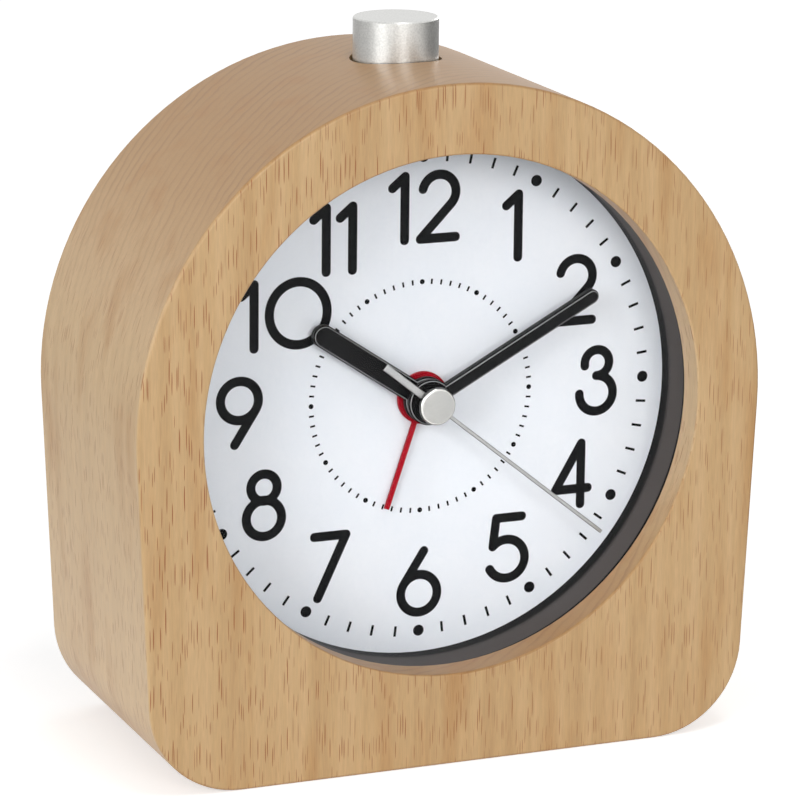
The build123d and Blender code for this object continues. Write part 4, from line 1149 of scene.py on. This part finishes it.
# %% [markdown]
# ## Metals of the movement
# Plated steel, soft iron, bronze and ferrite differ in colour and in the marks of their making: drawing and
# rolling leave fine lines one way, and pressed ferrite is dull and speckled. A wave pattern would make the
# lines too even, so a noise is stretched along them.

# %% Metals: the finishes
# Darker and lighter tone, reach of the lines in millimetres, metallic, range of roughness, and nodes
METALS = (
    # Nickel plate over drawn steel: bright, with fine lines along the draw
    (
        "bright plated steel",
        "#B2B2B0",
        "#C4C4C2",
        (0.15, 2.0, 0.15),
        1.0,
        (0.20, 0.36),
        (
            "quartz_crystal",
            "movement_screws",
            "back_cover_screws",
            "button_clip",
            "button_spring",
            "battery_positive_contact",
            "battery_negative_spring",
        ),
    ),
    # Annealed iron: a dull blue-grey with rolling lines
    ("rolled soft iron", "#85858A", "#98989C", (3.0, 0.2, 0.2), 1.0, (0.32, 0.5), ("stator", "coil_core")),
    # Spring bronze: a yellow metal with rolling lines
    (
        "rolled spring bronze",
        "#B08A45",
        "#C49E58",
        (2.0, 0.2, 0.2),
        1.0,
        (0.25, 0.4),
        ("alarm_contact_spring", "switch_contact"),
    ),
    # Pressed ferrite: dark, dull and speckled
    ("pressed ferrite", "#3A3A3D", "#4A4A4D", (0.2, 0.2, 0.2), 0.0, (0.55, 0.75), ("rotor_magnet",)),
)
print("Metals:", len(METALS))

# %% Metals: the materials
for name, low, high, size, metallic, rough, nodes in METALS:
    metal, tree, shader, coordinates = start_material(name, sum(rough) / 2, metallic=metallic)
    lines_map = add_node(
        tree, "Mapping", {"Vector": coordinates.outputs["Object"], "Scale": per_mm(*size)}
    )
    lines = add_node(
        tree, "TexNoise", {"Vector": lines_map.outputs["Vector"], "Scale": 1.0, "Detail": 2.0}
    )
    colour = add_node(
        tree, "ValToRGB", {"Fac": lines.outputs["Fac"]}, stops=[(0.3, low), (0.7, high)]
    )
    tree.links.new(colour.outputs["Color"], shader.inputs["Base Color"])
    drawn = add_node(
        tree, "MapRange", {"Value": lines.outputs["Fac"], "To Min": rough[0], "To Max": rough[1]}
    )
    tree.links.new(drawn.outputs["Result"], shader.inputs["Roughness"])
    give(metal, *nodes)

# %% [markdown]
# ## Button spring
# A coil spring lifts the snooze button. When the button goes down, the real spring gets shorter, which the
# rigid CAD spring can't do, so a new one stands on the case in its place. A wire bent round a cylinder is a
# helix: the centre goes round a circle while it climbs, and a small circle rides on it. A curve with a bevel
# would do as well, but this way the ends close cleanly.

# %% Button spring
SPRING_TURNS = 5
SPRING_WIRE = 0.5 * MM
spring_low, spring_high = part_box("button_spring")


def coil(low, high, wire, turns, steps=60, sides=12):
    """A wire helix that fills a box: its centre is a circle that climbs evenly, with a round section.

    The section is spanned by the direction away from the axis and by its cross product with the path.
    """
    angle = np.linspace(0, 2 * math.pi * turns, steps * turns + 1)
    radius = (high.x - low.x - wire) / 2
    rise = high.z - low.z - wire
    out = np.stack([np.cos(angle), np.sin(angle), 0 * angle], axis=1)
    middle = np.array([(low.x + high.x) / 2, (low.y + high.y) / 2, low.z + wire / 2])
    centre = middle + radius * out
    centre[:, 2] += rise * angle / angle[-1]
    ahead = np.gradient(centre, axis=0)
    ahead /= np.linalg.norm(ahead, axis=1)[:, None]
    across = np.cross(ahead, out)
    around = np.linspace(0, 2 * math.pi, sides, endpoint=False)
    points = centre[:, None] + wire / 2 * (
        np.cos(around)[:, None] * out[:, None] + np.sin(around)[:, None] * across[:, None]
    )
    return points.reshape(-1, 3), skin(len(angle), sides)


steel = bpy.data.materials["bright plated steel"]
button_coil = add_piece(
    "button_coil",
    [coil(spring_low, spring_high, SPRING_WIRE, SPRING_TURNS)],
    steel,
    "clock_body",
)
button_coil.data.shade_smooth()
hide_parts("button_spring")
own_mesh(button_coil)

# %% [markdown]
# ## Coil, circuit board and battery
# The coil is enamelled copper wire, finer than a hair. Thousands of turns as real wire would only be slow,
# so a wave draws them, four times too coarse, or they would not show. The board has a green solder mask over
# copper tracks, and the battery a plain sleeve with a bright band at its positive end.

# %% Coil winding
WIRE_MM = 0.2
# Enamelled copper: a warm metal, ribbed by its turns, with painted shade darkening the grooves between turns
copper, tree, shader, coordinates = start_material("enamelled copper wire", 0.3, metallic=1.0)
along = add_node(tree, "SeparateXYZ", {"Vector": coordinates.outputs["Object"]})
turns = add_node(
    tree,
    "Math",
    {0: along.outputs["X"], 1: 2 * math.pi / (WIRE_MM * MM)},
    operation="MULTIPLY",
)
turns = add_node(tree, "Math", {0: turns.outputs[0]}, operation="SINE")
crown = add_node(tree, "MapRange", {"Value": turns.outputs[0], "From Min": -1.0})
enamel_and_groove_shade = add_node(
    tree, "ValToRGB", {"Fac": crown.outputs["Result"]}, stops=[(0.0, "#7A3A1C"), (0.7, "#BF6D3A")]
)
tree.links.new(enamel_and_groove_shade.outputs["Color"], shader.inputs["Base Color"])
bump = add_node(
    tree, "Bump", {"Height": turns.outputs[0], "Strength": 0.4, "Distance": 0.05 * MM}
)
tree.links.new(bump.outputs["Normal"], shader.inputs["Normal"])
give(copper, "coil_winding")

# %% Circuit board
TRACK_MM = 2.4
# Solder mask: a thin green varnish, lighter where copper lies under it
mask, tree, shader, coordinates = start_material("green solder mask on glass laminate", 0.35)
board_map = add_node(
    tree, "Mapping", {"Vector": coordinates.outputs["Object"], "Rotation": (math.pi / 2, 0, 0)}
)
tracks = add_node(
    tree,
    "TexBrick",
    {
        "Vector": board_map.outputs["Vector"],
        "Color1": linear("#1B5A33"),
        "Color2": linear("#1E6339"),
        "Mortar": linear("#2F7D4A"),
        "Scale": 1 / (TRACK_MM * MM),
        "Mortar Size": 0.08,
        "Brick Width": 3.0,
        "Row Height": 1.0,
    },
)
tree.links.new(tracks.outputs["Color"], shader.inputs["Base Color"])
bump = add_node(
    tree, "Bump", {"Height": tracks.outputs["Fac"], "Strength": 0.3, "Distance": 0.03 * MM}
)
tree.links.new(bump.outputs["Normal"], shader.inputs["Normal"])
give(mask, "circuit_board")

# %% Battery
BAND_MM = 14
BAND_EDGE_MM = 0.1
SCUFF_MM = 1.5
band_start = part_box("battery")[1].x - BAND_MM * MM
# Printed shrink sleeve: smooth and glossy, a little scuffed
sleeve, tree, shader, coordinates = start_material("printed battery sleeve", 0.28)
along = add_node(tree, "SeparateXYZ", {"Vector": coordinates.outputs["Object"]})
band = add_node(
    tree,
    "MapRange",
    {"Value": along.outputs["X"], "From Min": band_start, "From Max": band_start + BAND_EDGE_MM * MM},
)
scuffs = add_node(
    tree,
    "TexNoise",
    {"Vector": coordinates.outputs["Object"], "Scale": 1 / (SCUFF_MM * MM), "Detail": 3.0},
)
dark = add_node(
    tree, "ValToRGB", {"Fac": scuffs.outputs["Fac"]}, stops=[(0.3, "#25272B"), (0.7, "#2E3035")]
)
colour = add_node(
    tree,
    "Mix",
    {0: band.outputs["Result"], 6: dark.outputs["Color"], 7: linear("#B8B4AA")},
    data_type="RGBA",
)
tree.links.new(colour.outputs[2], shader.inputs["Base Color"])
foil = add_node(tree, "MapRange", {"Value": scuffs.outputs["Fac"], "To Min": 0.22, "To Max": 0.36})
tree.links.new(foil.outputs["Result"], shader.inputs["Roughness"])
give(sleeve, "battery")

# %% [markdown]
# ## Measure and finish
# The dressed clock must fill the same box as the CAD model. The last cell prints the dressed clock's box in
# millimetres.

# %% Measure and finish
low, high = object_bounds()
print("Visual box in mm:", [round(float(v) / MM, 1) for v in (*low, *high)])
